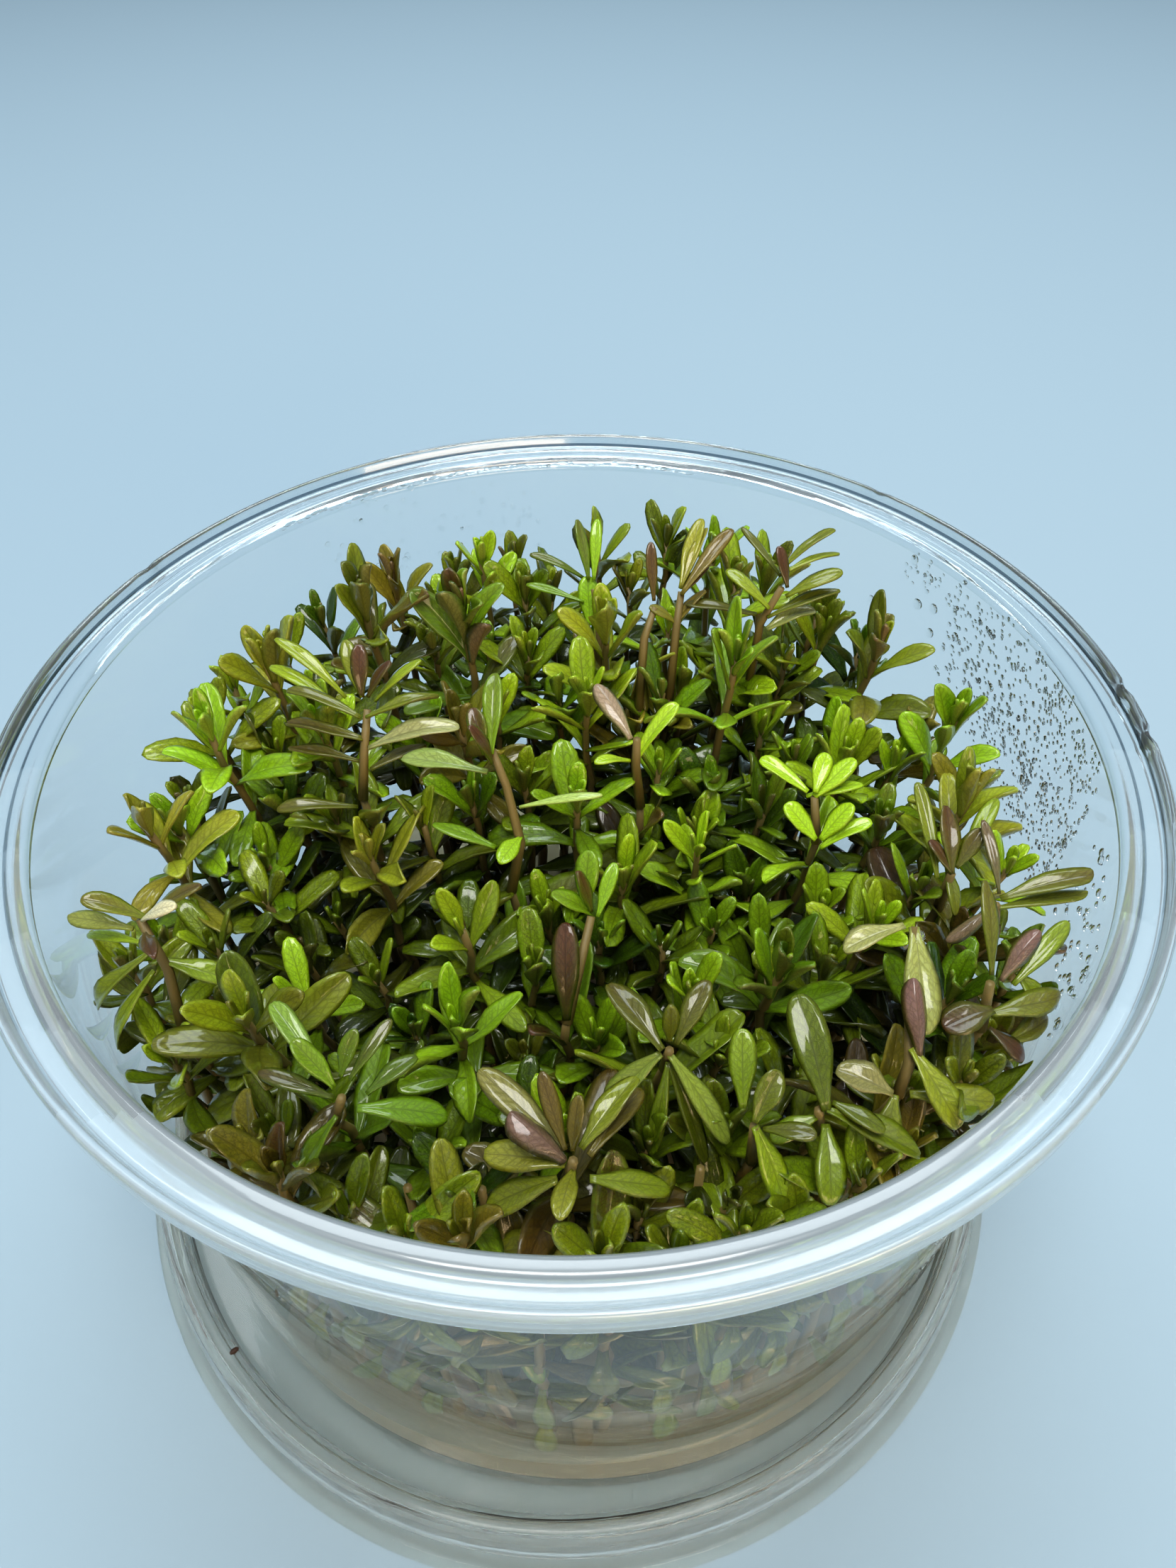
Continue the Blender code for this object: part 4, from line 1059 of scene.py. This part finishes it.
def growHero(growth, dice, hero, habit):
    # the top of a shoot with each leaf in its own place, then the common habit below it
    def place(x, y, over):
        return np.array((x + cup["axisX"], y, lipHeight + over))

    path = np.array([place(*spot) for spot in hero["stem"]])
    if len(path) == 2:
        path = np.array([path[0], path.mean(0), path[1]])
    points, faces = stemTube(path, np.linspace(0.32, 0.88 * shoots["stemRadius"], len(path)))
    growth.add(points, faces, np.zeros((len(points), 3)), (0.6, 0.2, 0, 0), 1)
    faces, ring = topology["fine"]
    for *ends, width, underside, light, purple, fresh, pale in hero["leaves"]:
        start, end = place(*ends[:3]), place(*ends[3:])
        chord = end - start
        length = np.linalg.norm(chord)
        climb = math.asin(chord[2] / length)
        sag = dice.uniform(0.15, 0.65)
        blade, spots = leafBlade("fine", start, math.atan2(chord[1], chord[0]), climb + 0.44 * sag, sag,
                                 length * 1.02, width, dice.uniform(-0.15, 0.15), dice.uniform(-0.4, 0.4),
                                 dice.uniform(0.1, 0.6), math.pi * underside)
        growth.add(blade, faces, spots, (light, purple, fresh, pale), 0)
    if habit:
        growShoot(growth, dice, tuple(path[-1]), *habit, first=3.0)


finishes = ("olive", "green", "bronze")


def addShoots(leafMaterials, stemMaterial):
    dice = random.Random(shoots["seed"])
    grown = []
    for number, (x, y, over, *habit) in enumerate(shoots["tips"], start=1):
        growth = Growth()
        mine = [hero for hero in heroes if hero["shoot"] == number]
        for hero in mine:
            growHero(growth, dice, hero, habit)
        if not mine:
            growShoot(growth, dice, (x + cup["axisX"], y, lipHeight + over), *habit)
        finish = finishes[number % 3]
        piece = growth.finish(f"rotala_{number:02d}", [leafMaterials[finish], stemMaterial])
        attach(piece, "root")
        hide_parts(f"shoot_{number:02d}")
        grown.append(piece)
    return grown


# Smaller shoots between the main ones
undergrowth = {
    "seed": 5,
    "count": 105,
    "reach": 36.0,
    "spacing": 4.8,
    "fromTips": 4.0,
    "depth": (4.0, 11.0),       # how far their tips stay under the main shoots' tips
    "gap": (-8.5, -4.0, 5.0),   # the dark hollow left of the middle: x, y, radius
    # shoots pressed to the front wall: azimuth in degrees, reach, tip over the lip in mm, size
    "wall": (
        (-128, 37.5, -12, 0.9), (-121, 38.0, -9, 1.0), (-114, 37.5, -12, 1.0), (-107, 38.3, -10, 1.0),
        (-101, 38.0, -8, 1.0), (-95, 38.5, -13, 1.05), (-88, 38.3, -9, 1.1), (-81, 38.0, -12, 1.05), (-75, 38.4, -9, 1.0),
        (-68, 37.8, -12, 1.0), (-61, 38.2, -10, 1.0), (-54, 37.6, -12, 0.95), (-46, 37.8, -9, 1.0), (-37, 37.4, -12, 0.9),
        (-143, 37.4, -12, 0.95), (-156, 37.6, -11, 0.9), (-26, 37.5, -11, 0.95),
    ),
}


def canopyHeight(x, y):
    # mean of the main tips' heights, near ones counting most
    total = weight = 0.0
    for tip in shoots["tips"]:
        near = 1.0 / (6.0 + (tip[0] - x) ** 2 + (tip[1] - y) ** 2) ** 1.5
        total += near * tip[2]
        weight += near
    return total / weight


def undergrowthPlaces(dice):
    taken = []
    for _ in range(6000):
        if len(taken) == undergrowth["count"]:
            break
        angle, reach = dice.uniform(0, math.tau), undergrowth["reach"] * math.sqrt(dice.random())
        x, y = reach * math.cos(angle), reach * math.sin(angle)
        if any(math.hypot(x - a, y - b) < undergrowth["spacing"] for a, b in taken):
            continue
        if any(math.hypot(x - tip[0], y - tip[1]) < undergrowth["fromTips"] for tip in shoots["tips"]):
            continue
        if math.hypot(x - undergrowth["gap"][0], y - undergrowth["gap"][1]) < undergrowth["gap"][2]:
            continue
        taken.append((x, y))
    return taken


def addUndergrowth(leafMaterials, stemMaterial):
    dice = random.Random(undergrowth["seed"])
    clumps = {finish: Growth() for finish in finishes}
    for x, y in undergrowthPlaces(dice):
        over = canopyHeight(x, y) - dice.uniform(*undergrowth["depth"])
        finish = dice.choices(finishes, (5, 4, 2))[0]
        lowest = 45.0 if math.hypot(x, y) > 27 else 16.0
        # their low light amounts darken them, partly for age and partly as painted shade under the main shoots
        growShoot(clumps[finish], dice, (x + cup["axisX"], y, lipHeight + over), dice.uniform(0.8, 1.05),
                  dice.uniform(0.3, 1.0), dice.uniform(0.1, 0.6), dice.choice((0, 0, 0.1, 0.4)),
                  dice.choice((0, 0.2, 0.4, 0.7)), "plain", lowest)
    for azimuth, reach, over, size in undergrowth["wall"]:
        finish = dice.choices(finishes, (4, 1, 2))[0]
        x, y = reach * math.cos(math.radians(azimuth)), reach * math.sin(math.radians(azimuth))
        growShoot(clumps[finish], dice, (x + cup["axisX"], y, lipHeight + over), size, dice.uniform(0.5, 0.9),
                  dice.uniform(0.3, 0.8), dice.choice((0, 0.3, 0.6)), 0.1, "fine", 45.0, 0.97)
    for shoot in frontShoots:
        growHero(clumps[shoot["finish"]], dice, shoot, None)
    path = [(x + cup["axisX"], y, lipHeight + over) for x, y, over in cutStem["path"]]
    points, faces = stemTube(path, [cutStem["radius"]] * len(path), 12)
    clumps["olive"].add(points, faces, np.zeros((len(points), 3)), (0.5, 0.3, 0, 0), 1)
    for finish, growth in clumps.items():
        piece = growth.finish(f"{finish}_undergrowth", [leafMaterials[finish], stemMaterial])
        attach(piece, "root")


# Fine roots in the gel
roots = {"seed": 3, "perShoot": 3, "radius": 0.13}


def addRoots(material):
    dice = random.Random(roots["seed"])
    growth = Growth()
    top = cup["foot"] + cup["gelTop"]
    for tip in shoots["tips"]:
        for _ in range(roots["perShoot"]):
            spot = np.array((tip[0] * shoots["rootSpread"] + cup["axisX"], tip[1] * shoots["rootSpread"], top - 1.0))
            heading = dice.uniform(0, math.tau)
            path = [spot]
            for step in range(7):
                heading += dice.uniform(-0.7, 0.7)
                spot = spot + np.array((math.cos(heading) * 1.1, math.sin(heading) * 1.1, -dice.uniform(0.2, 0.9)))
                spot[2] = max(spot[2], cup["foot"] + cup["floor"] + 0.4)
                path.append(spot)
            points, faces = stemTube(path, np.linspace(roots["radius"], 0.05, len(path)), 4)
            growth.add(points, faces, np.zeros((len(points), 3)), (0.5, 0, 0, 0), 0)
    piece = growth.finish("root_threads", [material])
    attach(piece, "root")


# Drops of condensation: caps of water on the inside of the wall, on the lip's edge and on a few leaves
condensation = {
    "seed": 8,
    "offWall": 0.03,            # mm left between a drop and what it hangs on
    "depth": 0.32,              # of a drop, as a share of its width
    # single drops: azimuth in degrees and height over the lip in mm
    "large": (
        (36.4, -2.0), (33.3, -3.0), (41.6, -8.7), (34.2, -6.3), (31.5, -5.7), (31.0, -8.4), (26.8, -6.9), (25.8, -14.1),
        (23.6, -8.8), (20.7, -13.5), (18.4, -8.5), (6.9, -12.7), (2.4, -10.3), (-6.8, -10.3), (-13.8, -11.6),
    ),
    # fields of small drops: azimuths, heights over the lip, count, widths
    "fields": (
        (5.7, 28.5, -12, -3.5, 230, 0.30, 0.62), (-8, 8, -19, -1.5, 460, 0.25, 0.46), (4, 20, -17, -10, 160, 0.25, 0.44),
        (4, 38, -4.5, -0.9, 150, 0.26, 0.52), (-33, -12, -15, -3, 70, 0.3, 0.8), (95, 128, -12, -1, 90, 0.3, 0.7),
    ),
    "lipBeads": (73, 135, 48),
    # on leaves: x, y and width
    "onLeaves": ((23.6, -19.3, 1.1), (-8.7, 1.8, 0.5), (20.3, -9.2, 0.6), (23.7, -22.1, 0.7), (5.6, -16.4, 0.5), (-13.1, -7.6, 0.5)),
}


def waterCap(centre, aside, upward, outward, width, height, depth, sides, rings):
    # a closed flat-backed cap whose back is centred on centre
    verts, faces = [], []
    for ring in range(rings):
        share = ring / rings
        reach, rise = math.cos(share * math.pi / 2), math.sin(share * math.pi / 2)
        for side in range(sides):
            angle = math.tau * side / sides
            verts.append(centre + aside * math.cos(angle) * reach * width / 2
                         + upward * math.sin(angle) * reach * height / 2 + outward * rise * depth)
    verts.append(centre + outward * depth)
    for ring in range(rings - 1):
        for side in range(sides):
            following = (side + 1) % sides
            low, high = ring * sides, (ring + 1) * sides
            faces.append((low + side, low + following, high + following, high + side))
    top = (rings - 1) * sides
    faces += [(top + side, top + (side + 1) % sides, len(verts) - 1) for side in range(sides)]
    faces.append(tuple(reversed(range(sides))))
    return verts, faces


def addCondensation(material, plants):
    dice = random.Random(condensation["seed"])
    verts, faces = [], []

    def addCap(*shape):
        newVerts, newFaces = waterCap(*shape)
        faces.extend(tuple(len(verts) + corner for corner in face) for face in newFaces)
        verts.extend(newVerts)

    def addWallDrop(azimuth, over, width, tall, inset=0.0):
        angle, height = math.radians(azimuth), lipHeight + over
        inward = Vector((-math.cos(angle), -math.sin(angle), 0))
        reach = innerRadius(height) - condensation["offWall"] - inset
        centre = Vector((cup["axisX"], 0, height)) - inward * reach
        fine = width > 0.6
        addCap(centre, Vector((math.sin(angle), -math.cos(angle), 0)), Vector((0, 0, 1)), inward, width, width * tall,
               width * condensation["depth"] * min(tall, 1.0), 14 if fine else 8, 5 if fine else 3)

    for azimuth, over in condensation["large"]:
        addWallDrop(azimuth, over, dice.uniform(0.8, 1.15), dice.uniform(0.95, 1.3))
    for start, end, low, high, count, small, big in condensation["fields"]:
        for _ in range(count):
            addWallDrop(dice.uniform(start, end), dice.uniform(low, high), dice.uniform(small, big), dice.uniform(0.9, 1.1))
    start, end, count = condensation["lipBeads"]
    for number in range(count):
        azimuth = start + (end - start) * (number + dice.uniform(-0.25, 0.25)) / count
        length = dice.uniform(0.45, 1.5)
        addWallDrop(azimuth, -0.6 - dice.uniform(0, 0.3), length, 0.45 / length)
    for x, y, width in condensation["onLeaves"]:
        start = Vector((x + cup["axisX"], y, lipHeight + 6)) * mm
        hits = [plant.ray_cast(start, Vector((0, 0, -1))) for plant in plants]
        hits = [(place, normal) for found, place, normal, face in hits if found]
        if not hits:
            continue
        place, normal = max(hits, key=lambda hit: hit[0].z)
        aside = normal.orthogonal().normalized()
        addCap(place / mm + normal * condensation["offWall"], aside, normal.cross(aside), normal, width, width * 0.85,
               width * 0.4, 14, 5)
    mesh = bpy.data.meshes.new("condensation")
    mesh.from_pydata([vert * mm for vert in verts], [], faces)
    mesh.materials.append(material)
    mesh.shade_smooth()
    mesh.set_sharp_from_angle(angle=math.radians(60))
    piece = bpy.data.objects.new("condensation", mesh)
    bpy.context.scene.collection.objects.link(piece)
    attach(piece, "root")


# A dark speck that lies in the groove of the lid's rim
def addSpeck(material):
    verts, faces = waterCap(Vector((-32.1, -30.1, lid["rimTop"] + 0.02)), Vector((0.8, 0.6, 0)), Vector((-0.6, 0.8, 0)),
                            Vector((0, 0, 1)), 1.0, 0.6, 0.35, 7, 2)
    mesh = bpy.data.meshes.new("speck")
    mesh.from_pydata([vert * mm for vert in verts], [], faces)
    mesh.materials.append(material)
    piece = bpy.data.objects.new("speck", mesh)
    bpy.context.scene.collection.objects.link(piece)
    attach(piece, "root")


addCamera()
lightTheScene()
setUpRender()
addFloor(makeFloorMaterial())
makeVeinGroup()
makeToneGroup()
makeStreakGroup()
leafMaterials = {name: makeLeafMaterial(name) for name in finishes}
stemMaterial = makeStemMaterial()
print("materials ready")
addCup({name: makeClearPlastic(name) for name in cupParts})
addLid(makeClearPlastic("lid"))
addGel(makeGelMaterial())
print("cup, lid and gel made")
plants = addShoots(leafMaterials, stemMaterial)
addUndergrowth(leafMaterials, stemMaterial)
addRoots(makeRootMaterial())
print("plant grown")
addCondensation(makeWaterMaterial(), plants)
addSpeck(makeSpeckMaterial())
print("drops and speck placed")
